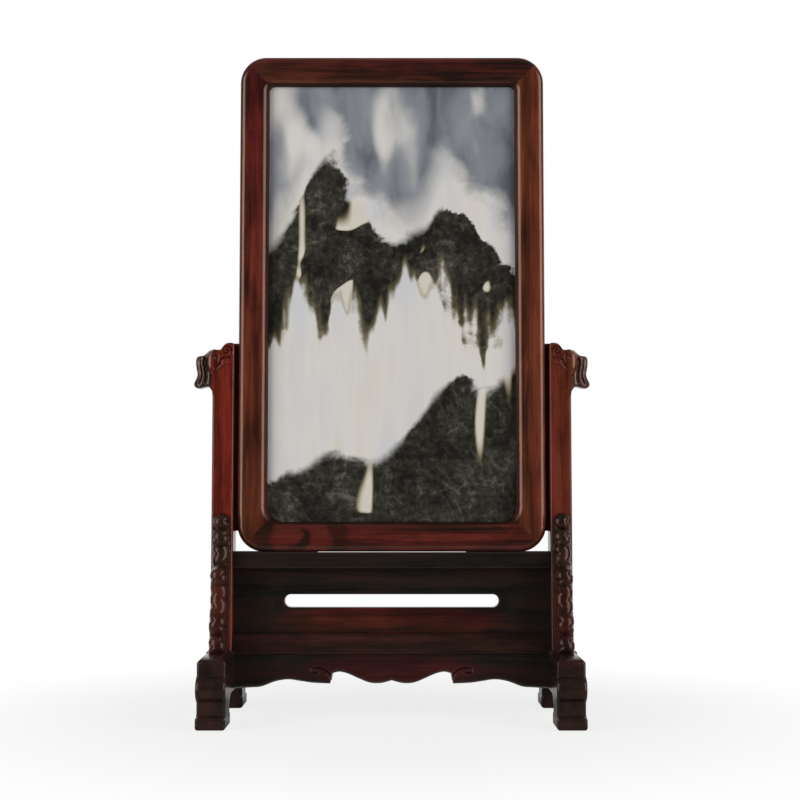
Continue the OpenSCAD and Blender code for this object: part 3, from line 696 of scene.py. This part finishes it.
def edge_line(depth, middle, width, cut):
    """A soft line cut along the edges at a depth inside them."""
    return -cut * np.exp(-((depth - middle) / width) ** 2)


def share_of(value, reach):
    """How far a value has come along a reach, from 0 to 1."""
    return np.clip(value / reach, 0.0, 1.0)


def spiral_path(middle, radius, turns, start, hand):
    """A spiral from its outer end inwards, with its start in degrees."""
    share = np.linspace(0.0, 1.0, int(SPIRAL_POINTS * turns))
    angle = math.radians(start) + hand * 2 * math.pi * turns * share
    reach = radius * (1.0 - SPIRAL_CLOSE * share)
    return np.column_stack([middle[0] + reach * np.cos(angle), middle[1] + reach * np.sin(angle)])


# Finials

FINIAL_RUNS = (
    ((0, 0), (0.15, 0), (0.27, -0.03), (0.38, -0.075), (0.5, -0.115), (0.66, -0.13), (0.82, -0.145),
     (0.9, -0.21), (0.91, -0.3), (0.87, -0.42), (0.83, -0.52), (0.88, -0.61), (0.97, -0.69),
     (0.995, -0.755), (0.9, -0.81), (0.72, -0.825)),
    ((0.72, -0.825), (0.5, -0.805), (0.36, -0.79), (0.26, -0.79)),
    ((0.26, -0.79), (0.17, -0.83), (0.07, -0.9), (0, -1)),
)
TRUNK_FLUTES = (
    ((0.4, -0.16), (0.46, -0.27), (0.4, -0.42), (0.36, -0.58), (0.42, -0.76)),
    ((0.62, -0.17), (0.7, -0.27), (0.64, -0.42), (0.61, -0.56), (0.72, -0.7), (0.8, -0.78)),
)
FLUTE_WIDTH, FLUTE_DEPTH = mm(1.25, 1.9)
FINIAL_EDGE_R, BROW_MIDDLE_V, BROW_RISE = mm(3.8, -9.0, 5.0)
# Steps along the free outline, along the joined edges and of the grid
FINIAL_STEPS = mm(0.55, 0.8, 0.6)
BROW_REACH = mm(5.6, 12.5)
BROW_PATCH_REACH = (1.5 * BROW_REACH[0], 40.0 * MM, 1.3 * BROW_REACH[1])


def finial_relief(size):
    """Long flutes down the trunk, and the brow that carries the post's head over its root."""
    flutes = [smooth_points(np.array(run) * size, PATH_STEP) for run in TRUNK_FLUTES]

    def relief(u, v, depth):
        cut = sum(groove(u, v, path, FLUTE_WIDTH, FLUTE_DEPTH) for path in flutes)
        near = (u / BROW_REACH[0]) ** 2 + ((v - BROW_MIDDLE_V) / BROW_REACH[1]) ** 2
        brow = BROW_RISE * np.sqrt(np.clip(1.0 - near, 0.0, 1.0))
        return np.where(brow > 0.0, brow, cut) * share_of(depth, FINIAL_EDGE_R)
    return relief


def make_finial(side_name):
    low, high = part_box(f"{side_name}_finial")
    side = SIDES[side_name]
    size = (high.x - low.x, high.z - low.z)
    root_x = low.x if side > 0 else high.x
    rim_step, joint_step, grid_step = FINIAL_STEPS
    free = outline(FINIAL_RUNS, size, rim_step)
    joined = straight([free[-1], free[0]], joint_step)[1:-1]
    grid = even_grid((0.0, -size[1]), (size[0], 0.0), grid_step)

    def place(u, v, t):
        return root_x + side * u, t, high.z + v

    return carved_plate(f"{side_name}_finial", np.vstack([free, joined]), [free], high.y,
                        FINIAL_EDGE_R, grid, place, finial_relief(size))


# Posts

HEAD_RUNS = (
    ((0, 0.82), (0.04, 0.95), (0.15, 1), (0.34, 0.975), (0.46, 0.88), (0.56, 0.7), (0.64, 0.53)),
    ((0.64, 0.53), (0.75, 0.51), (0.88, 0.535), (1, 0.54)),
)
HEAD_H, HEAD_RELIEF_DEPTH = mm(12.0, 26.0)
HEAD_STEP, HEAD_GRID, ROOT_STEP, POST_STEP, BASE_STEP, POST_GRID = mm(0.5, 0.55, 1.0, 2.0, 3.0, 4.0)
POST_EDGE_R, GROOVE_PLAY = mm(2.0, 0.2)
GROOVE_END_PLAY = 3 * GROOVE_PLAY
# How far the tool that cuts the groove stands out of the post
CUTTER_OVER = 5 * MM
# Turns of each spiral, its start in degrees and its hand
SCROLL_TURN = (1.4, 200.0, -1)
EYE_TURN = (1.0, 0.0, 1)
EYE_POINTS = 18
# Width and depth of each cut; a negative depth makes a ridge
SCROLL_CUT = mm(0.85, 1.7)
EYE_CUT = mm(0.75, 1.4)
JAW_CUT = mm(0.85, 1.5)
TUSK_CUT = mm(1.0, -1.0)
HEAD_CUT_MAX, HEAD_CUT_FADE = mm(1.8, 1.5)
SCROLL_MIDDLE = mm(6.4, -6.6)
SCROLL_R, EYE_R = mm(4.3, 2.5)
EYE_MIDDLE = mm(15.4, -12.6)
TUSK_RUN = (mm(6.6, -16.2), mm(8.6, -17.0), mm(11.2, -19.4))
JAW_RUN = (mm(1.5, -13.0), mm(6.5, -12.2), mm(10.8, -14.0), mm(12.6, -18.0), mm(16.0, -21.5))


def head_relief(u, v, depth):
    """Scroll, eye, tusk and jaw line cut into the head of a post; v is measured down from its top."""
    scroll = groove(u, v, spiral_path(SCROLL_MIDDLE, SCROLL_R, *SCROLL_TURN), *SCROLL_CUT)
    ring = groove(u, v, spiral_path(EYE_MIDDLE, EYE_R, *EYE_TURN)[:EYE_POINTS], *EYE_CUT)
    tusk = groove(u, v, smooth_points(TUSK_RUN, PATH_STEP), *TUSK_CUT)
    jaw = groove(u, v, smooth_points(JAW_RUN, PATH_STEP), *JAW_CUT)
    return np.maximum(scroll + ring + jaw, -HEAD_CUT_MAX) * share_of(depth, HEAD_CUT_FADE) + tusk


def make_post(side_name):
    low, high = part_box(f"{side_name}_post")
    side = SIDES[side_name]
    width = high.x - low.x
    inner_x = low.x if side > 0 else high.x
    head = outline(HEAD_RUNS, (width, HEAD_H), HEAD_STEP) - (0.0, HEAD_H)
    bottom = FOOT_TOP - high.z
    finial_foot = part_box(f"{side_name}_finial")[0].z - high.z
    inner_side = straight([(0.0, bottom), head[0]], POST_STEP)
    root = straight([head[-1], (width, finial_foot)], ROOT_STEP)
    outer_side = straight([(width, finial_foot), (width, bottom)], POST_STEP)
    base = straight([outer_side[-1], inner_side[0]], BASE_STEP)
    free = np.vstack([inner_side[:-1], head])
    rim = np.vstack([free, root[1:-1], outer_side, base[1:-1]])
    grid = np.vstack([even_grid((0.0, -HEAD_RELIEF_DEPTH), (width, 0.0), HEAD_GRID),
                      even_grid((0.0, bottom), (width, -HEAD_RELIEF_DEPTH - POST_GRID / 2), POST_GRID)])

    def place(u, v, t):
        return inner_x + side * u, t, high.z + v

    post = carved_plate(f"{side_name}_post", rim, [free, outer_side], high.y, POST_EDGE_R, grid,
                        place, head_relief)
    cut_tongue_groove(post, side_name, inner_x, high.z)
    return post


def cut_tongue_groove(post, side_name, inner_x, top):
    """Cuts the groove in which the screen's tongue runs, open at the top."""
    side = SIDES[side_name]
    low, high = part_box(f"{side_name}_tongue")
    reach_x = high.x + GROOVE_END_PLAY if side > 0 else low.x - GROOVE_END_PLAY
    near_x, over_top = inner_x - side * CUTTER_OVER, top + CUTTER_OVER
    corners = [(x, y, z) for x in (near_x, reach_x) for y in (low.y - GROOVE_PLAY, high.y + GROOVE_PLAY)
               for z in (low.z - GROOVE_END_PLAY, over_top)]
    faces = [(0, 1, 3, 2), (4, 6, 7, 5), (0, 4, 5, 1), (2, 3, 7, 6), (0, 2, 6, 4), (1, 5, 7, 3)]
    cutter = mesh_object("cutter", corners, faces)
    cut = post.modifiers.new("groove", "BOOLEAN")
    cut.operation = "DIFFERENCE"
    cut.solver = "EXACT"
    cut.object = cutter
    bpy.context.view_layer.update()
    result = bpy.data.meshes.new_from_object(post.evaluated_get(bpy.context.evaluated_depsgraph_get()))
    post.modifiers.clear()
    post.data = result
    shade_smooth(result)
    bpy.data.objects.remove(cutter)


# Brackets

SPANDREL_RUNS = (
    ((0, 1), (0.13, 0.99), (0.24, 0.955), (0.25, 0.91), (0.18, 0.88)),
    ((0.18, 0.88), (0.3, 0.87), (0.38, 0.83), (0.38, 0.785), (0.29, 0.75)),
    ((0.29, 0.75), (0.32, 0.69), (0.42, 0.635), (0.56, 0.61), (0.69, 0.59), (0.76, 0.55), (0.75, 0.5),
     (0.66, 0.465)),
    ((0.66, 0.465), (0.65, 0.4), (0.69, 0.335), (0.79, 0.285), (0.9, 0.245), (0.94, 0.195), (0.9, 0.15),
     (0.82, 0.125)),
    ((0.82, 0.125), (0.92, 0.108), (0.99, 0.07), (1, 0.035), (0.97, 0.01), (0.94, 0)),
)
BRACKET_EDGE_R = 6.4 * MM
BRACKET_STEPS = mm(0.9, 1.5, 1.0)
# Place of the line inside the edge, its width and its depth
BRACKET_LINE = mm(7.8, 0.7, 0.9)
BRACKET_SCROLL_TURN = (1.5, 90.0, -1)
BRACKET_SCROLL_CUT = mm(0.6, 0.9)
BRACKET_CUT_MAX, BRACKET_CUT_FADE = mm(1.2, 2.0)
BRACKET_SCROLLS = (
    ((0.09, 0.935), 3.0 * MM), ((0.17, 0.815), 4.2 * MM), ((0.47, 0.54), 5.2 * MM),
    ((0.62, 0.2), 5.0 * MM))
# Nicks across the edge, staggered between the two faces
NICK_PITCH, NICK_WIDTH, NICK_DEPTH = mm(10.5, 1.5, 1.5)
NICK_RIM, NICK_REACH, NICK_FADE = mm(0.5, 9.0, 3.0)


def bracket_relief(size, phase):
    """A line that follows the outer edge, a small scroll in each lobe, and nicks across the edge."""
    scrolls = [spiral_path(np.array(middle) * size, radius, *BRACKET_SCROLL_TURN)
               for middle, radius in BRACKET_SCROLLS]

    def relief(u, v, depth):
        cut = sum(groove(u, v, path, *BRACKET_SCROLL_CUT) for path in scrolls)
        inner = np.maximum(edge_line(depth, *BRACKET_LINE) + cut, -BRACKET_CUT_MAX)
        off = (v / NICK_PITCH + phase + 0.5) % 1.0 - 0.5
        near_edge = share_of(depth, NICK_RIM) * share_of(NICK_REACH - depth, NICK_FADE)
        nicks = NICK_DEPTH * near_edge * np.exp(-(off * NICK_PITCH / NICK_WIDTH) ** 2)
        return inner * share_of(depth, BRACKET_CUT_FADE) - nicks
    return relief


def make_bracket(end_name, side_name):
    node = f"spandrel_{end_name}_{side_name}"
    low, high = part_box(node)
    end = ENDS[end_name]
    size = (high.y - low.y, high.z - FOOT_TOP)
    root_y = high.y if end < 0 else low.y
    middle_x = (low.x + high.x) / 2
    rim_step, joint_step, grid_step = BRACKET_STEPS
    free = outline(SPANDREL_RUNS, size, rim_step)
    joined = straight([free[-1], (0.0, 0.0), free[0]], joint_step)[1:-1]
    grid = even_grid((0.0, 0.0), size, grid_step)

    def place(u, v, t):
        return middle_x + t, root_y + end * u, FOOT_TOP + v

    return carved_plate(node, np.vstack([free, joined]), [free], (high.x - low.x) / 2,
                        BRACKET_EDGE_R, grid, place, bracket_relief(size, 0.0), bracket_relief(size, 0.5))


# Aprons

APRON_RUNS = (
    ((1, 1), (0.9, 0.97), (0.83, 0.94), (0.74, 0.78), (0.66, 0.72), (0.58, 0.77), (0.5, 0.825),
     (0.39, 0.85)),
    ((0.39, 0.85), (0.378, 0.53)),
    ((0.378, 0.53), (0.335, 0.48), (0.28, 0.54), (0.21, 0.69), (0.14, 0.82), (0.07, 0.835), (0, 0.75)),
)
APRON_TILT = math.radians(18.0)
APRON_SETBACK, APRON_T, APRON_HOUSING, APRON_EDGE_R = mm(1.0, 8.0, 3.0, 1.6)
APRON_STEPS = mm(0.8, 2.5, 1.1)
APRON_LINE = mm(2.4, 0.8, 0.35)
APRON_CURL = (
    (0.385, 0.8), (0.392, 0.62), (0.425, 0.47), (0.47, 0.4), (0.505, 0.45), (0.5, 0.55), (0.47, 0.56))
CURL_CUT = mm(0.8, 1.2)
CURL_STEP = 0.5 * MM
# Middles of the curls in shares of the half length, half their width, and their two ends
CURL_MIDDLES = (-0.45, 0.45)
CURL_HALF_W = 10 * MM
CURL_ENDS = (0.3, 0.86)


def apron_relief(half_l, drop):
    """A shallow line along the lower edge and a curl beside each notch."""
    curl = smooth_points(np.array(APRON_CURL) * (half_l, -drop), CURL_STEP)

    def relief(u, v, depth):
        return edge_line(depth, *APRON_LINE) + groove(np.abs(u), v, curl, *CURL_CUT)
    return relief


def make_apron(end_name):
    node = f"{end_name}_apron"
    low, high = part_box(node)
    end = ENDS[end_name]
    top_y = end * (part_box("stand_bottom_rail")[1].y - APRON_SETBACK)
    drop = (high.z - low.z - APRON_T * math.sin(APRON_TILT)) / math.cos(APRON_TILT)
    half_l = high.x - APRON_HOUSING
    rim_step, joint_step, grid_step = APRON_STEPS
    right = outline(APRON_RUNS, (half_l, -drop), rim_step)
    left = right[::-1][1:] * (-1.0, 1.0)
    free = np.vstack([right, left])
    corners = [free[-1], (-high.x, -drop), (-high.x, 0.0), (high.x, 0.0), (high.x, -drop), free[0]]
    joined = straight(corners, joint_step)[1:-1]
    curls = [even_grid((middle * half_l - CURL_HALF_W, -CURL_ENDS[1] * drop),
                       (middle * half_l + CURL_HALF_W, -CURL_ENDS[0] * drop), CURL_STEP)
             for middle in CURL_MIDDLES]
    grid = np.vstack([even_grid((-high.x, -drop), (high.x, 0.0), grid_step), *curls])

    def place(u, v, t):
        middle = t - APRON_T / 2
        return (u, top_y + end * (middle * math.cos(APRON_TILT) - v * math.sin(APRON_TILT)),
                high.z + v * math.cos(APRON_TILT) + middle * math.sin(APRON_TILT))

    return carved_plate(node, np.vstack([free, joined]), [free], APRON_T / 2, APRON_EDGE_R,
                        grid, place, apron_relief(half_l, drop))


# Feet

PAD_L, PAD_H, PAD_R, PAD_SLOPE = mm(37.0, 10.0, 2.5, 0.4)
WAIST_H, ROLL_R, END_SETBACK = mm(10.5, 10.3, 6.0)
SHOULDER_L, SHOULDER_DROP = mm(12.0, 4.0)
ARCH_H, ARCH_R = mm(22.0, 12.0)
PROUD, PROUD_FADE = mm(0.5, 1.2)
CHAMFER, CHAMFER_START, CHAMFER_FADE, CHAMFER_STEP = mm(3.7, 8.0, 0.6, 0.8)
FOOT_EDGE_R, FOOT_STEP, FOOT_GRID = mm(2.2, 0.9, 1.3)
# Points of the outline closer together than this are left out
POINT_GAP = 0.12 * MM


def foot_half_outline(end_y, top_z):
    """Half of a foot from the side: under the arch, round pad, waist and roll, and up to the top."""
    step = FOOT_STEP
    block = end_y - END_SETBACK
    roll_y, roll_z = end_y - ROLL_R, PAD_H + WAIST_H + ROLL_R
    bite = math.degrees(math.acos((block - roll_y) / ROLL_R))
    arch_y = end_y - PAD_L
    pieces = [
        straight([(0.0, ARCH_H), (arch_y - ARCH_R, ARCH_H)], 2 * step),
        arc((arch_y - ARCH_R, ARCH_H - ARCH_R), ARCH_R, 90, 0, step),
        straight([(arch_y, ARCH_H - ARCH_R), (arch_y, 0.0), (end_y - PAD_R, 0.0)], step),
        arc((end_y - PAD_R, PAD_R), PAD_R, -90, 0, step / 2),
        arc((end_y - PAD_R, PAD_H - PAD_R), PAD_R, 0, 90, step / 2),
        straight([(end_y - PAD_R, PAD_H), (block, PAD_H + PAD_SLOPE), (block, PAD_H + WAIST_H)], step),
        arc((roll_y, roll_z), ROLL_R, -bite, bite, step / 2),
        smooth_points([(block, roll_z + ROLL_R), (block, top_z - SHOULDER_DROP)], step),
        smooth_points([(block, top_z - SHOULDER_DROP), (block - SHOULDER_L / 3, top_z - SHOULDER_DROP / 3),
                       (block - SHOULDER_L, top_z)], step),
        straight([(block - SHOULDER_L, top_z), (0.0, top_z)], 2 * step),
    ]
    points = np.vstack(pieces)
    keep = np.concatenate([[True], np.linalg.norm(np.diff(points, axis=0), axis=1) > POINT_GAP])
    return points[keep]


def foot_relief(end_y, chamfer_y):
    """Rolls and pads stand proud of the foot's sides, and a chamfer slopes the top of each end."""
    roll_y, roll_z = end_y - ROLL_R, PAD_H + WAIST_H + ROLL_R

    def relief(u, v, depth):
        at_end = share_of(np.abs(u) - chamfer_y, CHAMFER_FADE)
        slope = np.maximum(v - (FOOT_TOP - CHAMFER), 0.0) * at_end
        reach = np.hypot(np.abs(u) - roll_y, v - roll_z)
        roll = share_of(ROLL_R - reach, PROUD_FADE)
        pad = share_of(PAD_H - v, PROUD_FADE) * (np.abs(u) > end_y - PAD_L)
        step = np.maximum(roll, pad)
        proud = PROUD * step * step * (3 - 2 * step) - PROUD
        return proud - np.maximum(slope - round_over(depth, FOOT_EDGE_R), 0.0)
    return relief


def make_foot(side_name):
    low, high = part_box(f"{side_name}_foot")
    middle_x = (low.x + high.x) / 2
    half = foot_half_outline(high.y, high.z)
    mirror = half[::-1] * (-1.0, 1.0)
    rim = np.vstack([half, mirror[1:-1]])
    chamfer_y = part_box(f"{side_name}_post")[1].y + CHAMFER_START
    chamfer_u = np.arange(chamfer_y, high.y - END_SETBACK, CHAMFER_STEP)
    chamfer_foot = [np.column_stack([end * chamfer_u, np.full(len(chamfer_u), high.z - CHAMFER)])
                    for end in ENDS.values()]
    grid = np.vstack([even_grid((low.y, 0.0), (high.y, high.z), FOOT_GRID), *chamfer_foot])

    def place(u, v, t):
        return middle_x + t, u, v

    return carved_plate(f"{side_name}_foot", rim, [np.vstack([rim, rim[:1]])], (high.x - low.x) / 2,
                        FOOT_EDGE_R, grid, place, foot_relief(high.y, chamfer_y))


# Studio

CAMERA_PLACE = mm(6.8, -1256.2, 173.6)
CAMERA_PITCH_UP = 3.98
CAMERA_LENS = 67.75
CAMERA_SENSOR = 36.0
WHITE = (1.0, 1.0, 1.0, 1.0)
FLOOR_R = 0.5
FLOOR_SEGMENTS = 96
FLOOR_DROP = 0.3 * MM
FLOOR_NOISE = (260.0, 3.0)
FLOOR_RAMP = ((0.3, (0.62, 0.62, 0.62)), (0.7, (0.66, 0.66, 0.66)))
FLOOR_ROUGHNESS = 0.9
FLOOR_GLOSS = 0.1
FLOOR_FADE = (0.16, 0.48)
FLOOR_GLOW = 0.8
ROOM_LIGHT = 0.03
# Light from the ceiling and from the backdrop, and where each starts and is full
CEILING_LIGHT = 0.12
CEILING_SPAN = (0.25, 0.9)
BACKDROP_LIGHT = 0.6
BACKDROP_SPAN = (0.3, 0.95)
LIGHT_TARGET = Vector((0.0, 0.0, 0.3))
# Name, place, width, height, power and colour of each soft light
LIGHTS = (
    ("left_panel", (-1.0, -0.66, 0.5), 0.8, 1.2, 14.5, (1.0, 0.96, 0.92)),
    ("right_panel", (1.0, -0.66, 0.5), 0.8, 1.2, 14.0, (1.0, 0.96, 0.92)),
)


def seen_as_white(tree, mirrored):
    """1 where the camera looks, also through glass, and in reflections as far as mirrored says."""
    path = tree.add("LightPath").outputs
    seen = tree.math("MAXIMUM", path["Is Camera Ray"], path["Is Transmission Ray"])
    return tree.math("MAXIMUM", seen, tree.times(path["Is Glossy Ray"], mirrored))


def make_floor():
    """A round pale floor that keeps the object's shadow and fades to white further out."""
    mesh = bpy.data.meshes.new("floor")
    work = bmesh.new()
    bmesh.ops.create_circle(work, cap_ends=True, segments=FLOOR_SEGMENTS, radius=FLOOR_R)
    work.to_mesh(mesh)
    work.free()
    floor = new_object("floor", mesh)
    floor.location.z = -FLOOR_DROP
    tree = new_material("pale_floor")
    place = tree.coordinates()
    tree.set(Base_Color=tree.ramp(tree.noise(place, *FLOOR_NOISE), FLOOR_RAMP), Roughness=FLOOR_ROUGHNESS,
             Specular_IOR_Level=FLOOR_GLOSS)
    white = tree.add("Emission", Color=WHITE, Strength=1.0)
    seen = seen_as_white(tree, tree.remap(tree.split(place)[1], 0.0, FLOOR_R))
    fade = tree.remap(tree.vector("LENGTH", place), *FLOOR_FADE, FLOOR_GLOW, 1.0)
    both = tree.fill(tree.add("MixShader"), tree.times(fade, seen),
                     tree.nodes["Principled BSDF"].outputs[0], white.outputs[0])
    tree.feed(tree.nodes["Material Output"].inputs["Surface"], both[0])
    mesh.materials.append(tree.owner)


def make_world():
    """White where the camera looks and where the backdrop is reflected, with a dim room in front."""
    world = bpy.data.worlds.new("studio")
    bpy.context.scene.world = world
    tree = Tree(world)
    tree.nodes.clear()
    _, y, z = tree.split(tree.add("TexCoord").outputs["Generated"])
    ceiling = tree.remap(z, *CEILING_SPAN, 0.0, CEILING_LIGHT)
    behind = tree.remap(y, *BACKDROP_SPAN)
    strength = tree.math("MULTIPLY_ADD", behind, BACKDROP_LIGHT, tree.math("ADD", ceiling, ROOM_LIGHT))
    lights = [tree.add("Background", Color=WHITE, Strength=level).outputs[0] for level in (strength, 1.0)]
    both = tree.fill(tree.add("MixShader"), seen_as_white(tree, behind), *lights)
    tree.add("OutputWorld", Surface=both[0])


def make_lights():
    for name, place, width, height, power, colour in LIGHTS:
        data = bpy.data.lights.new(name, "AREA")
        data.shape = "RECTANGLE"
        data.size, data.size_y = width, height
        data.energy = power
        data.color = colour
        lamp = new_object(name, data)
        lamp.location = place
        lamp.rotation_euler = (LIGHT_TARGET - Vector(place)).to_track_quat("-Z", "Y").to_euler()


def make_camera():
    data = bpy.data.cameras.new("camera")
    data.lens = CAMERA_LENS
    data.sensor_width = CAMERA_SENSOR
    camera = new_object("camera", data)
    camera.location = CAMERA_PLACE
    camera.rotation_euler = (math.radians(90.0 + CAMERA_PITCH_UP), 0.0, 0.0)
    bpy.context.scene.camera = camera


# Assembly

EASE = 0.35 * MM
EASE_SEGMENTS = 2
EASE_ANGLE = 40.0
BEAD_GRAIN = {"top": "X", "bottom": "X", "left": "Z", "right": "Z"}
# The seat of the screen is bare wood, down to just below the hollow in it
SEAT_BARE_H = 1.4 * MM
RAIL_KNOT = ((-0.075, -0.013, 0.147), mm(9.0, 80.0, 8.5))
WARM_BOARD = (WARM_TONES, (0.0, 0.0, 0.078), (0.115, 0.1, 0.02))
WARM_BRACKET = (WARM_TONES, (0.0, 0.0, 0.088), (0.6, 0.1, 0.042))
WARM_APRON = (APRON_TONES, (0.0, 0.0, 0.04), (0.085, 0.1, 0.022))
# Shade painted on the lower inner half of the right post
SHADED_POST_PATCH = (CARVED_TONES, (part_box("right_post")[0].x, 0.0, 0.085), (0.016, 0.1, 0.102))


def finish_node(node, material, ease=EASE):
    """Gives a solid of the frame its material and eases its hard edges."""
    solid = NODES[node]
    solid.data.materials.clear()
    solid.data.materials.append(material)
    if ease:
        bevel = solid.modifiers.new("ease", "BEVEL")
        bevel.width = ease
        bevel.segments = EASE_SEGMENTS
        bevel.limit_method = "ANGLE"
        bevel.angle_limit = math.radians(EASE_ANGLE)


def dress(piece, material, node):
    """Gives a piece of the stand its material and slot, and lets it stand for a solid of the frame."""
    piece.data.materials.append(material)
    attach(piece, "stand")
    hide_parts(node)


def dress_screen():
    finish_node("frame_top_rail", rosewood("top_rail", "X", TOP_RAIL_TONES, 161, lip=True))
    finish_node("frame_bottom_rail",
                rosewood("bottom_rail", "X", RAIL_TONES, 202, knot=RAIL_KNOT, lip=True))
    finish_node("frame_left_stile", rosewood("left_stile", "Z", STILE_TONES, 43, lip=True))
    finish_node("frame_right_stile", rosewood("right_stile", "Z", STILE_TONES, 4, lip=True))
    finish_node("marble_panel", landscape_marble("landscape_marble"), 0)
    finish_node("back_board", satin_wood("back_board_wood", "Z", BACK_TONES, 5), 0)
    for seed, (edge, grain) in enumerate(BEAD_GRAIN.items(), 6):
        finish_node(f"back_bead_{edge}", rosewood(f"bead_{edge}", grain, RAIL_TONES, seed))
    finish_node("bead_pins", aged_brass("pin_brass"), 0)
    for side_name in SIDES:
        tongue_wood = rosewood(f"{side_name}_tongue", "Z", FINIAL_TONES, 10, DULL)
        finish_node(f"{side_name}_tongue", tongue_wood)


def dress_side(side_name, post_tones, post_shine, post_seed, seed, post_patch=None):
    """The post of one side with its finial, foot and two brackets."""
    post_wood = rosewood(f"{side_name}_post", "Z", post_tones, post_seed, post_shine, post_patch,
                         worn_and_shaded=(post_tones[1], post_tones[3]))
    dress(make_post(side_name), post_wood, f"{side_name}_post")
    low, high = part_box(f"{side_name}_finial")
    root = (low.x if SIDES[side_name] > 0 else high.x, 0.0, high.z + BROW_MIDDLE_V)
    finial_wood = rosewood(f"{side_name}_finial", "Z", FINIAL_TONES, seed + 2,
                           patch=(post_tones, root, BROW_PATCH_REACH),
                           worn_and_shaded=(FINIAL_TONES[0], FINIAL_TONES[3]))
    dress(make_finial(side_name), finial_wood, f"{side_name}_finial")
    foot_wood = rosewood(f"{side_name}_foot", "Y", FOOT_TONES, seed + 4, DULL)
    dress(make_foot(side_name), foot_wood, f"{side_name}_foot")
    for end_name in ENDS:
        wood = rosewood(f"bracket_{end_name}_{side_name}", "Z", CARVED_TONES, seed + 6, DULL,
                        WARM_BRACKET, worn_and_shaded=(HOLLOW_SHADE_TONE, CARVED_TONES[3]))
        dress(make_bracket(end_name, side_name), wood, f"spandrel_{end_name}_{side_name}")


def dress_stand():
    bare_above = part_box("stand_top_rail")[1].z - SEAT_BARE_H
    finish_node("stand_top_rail",
                rosewood("seat_rail", "X", STAND_TONES, 11, DULL, bare_above=bare_above))
    finish_node("pierced_board", rosewood("pierced_board", "X", STAND_TONES, 12, DULL, WARM_BOARD))
    finish_node("stand_bottom_rail", rosewood("low_rail", "X", CARVED_TONES, 13, DULL))
    plain = satin_wood("peg_wood", "Z", BACK_TONES, 14)
    finish_node("finial_dowels", plain, 0)
    finish_node("spandrel_pegs", plain, 0)
    dress_side("left", LEFT_POST_TONES, SOFT, 95, 15)
    dress_side("right", RIGHT_POST_TONES, DULL, 16, 16, SHADED_POST_PATCH)
    for seed, end_name in enumerate(ENDS, 31):
        wood = rosewood(f"{end_name}_apron", "X", STAND_TONES, seed, DULL, WARM_APRON,
                        worn_and_shaded=(HOLLOW_SHADE_TONE, WARM_TONES[3]))
        dress(make_apron(end_name), wood, f"{end_name}_apron")


bpy.context.scene.view_settings.view_transform = "Standard"
make_camera()
make_world()
make_lights()
make_floor()
dress_screen()
dress_stand()
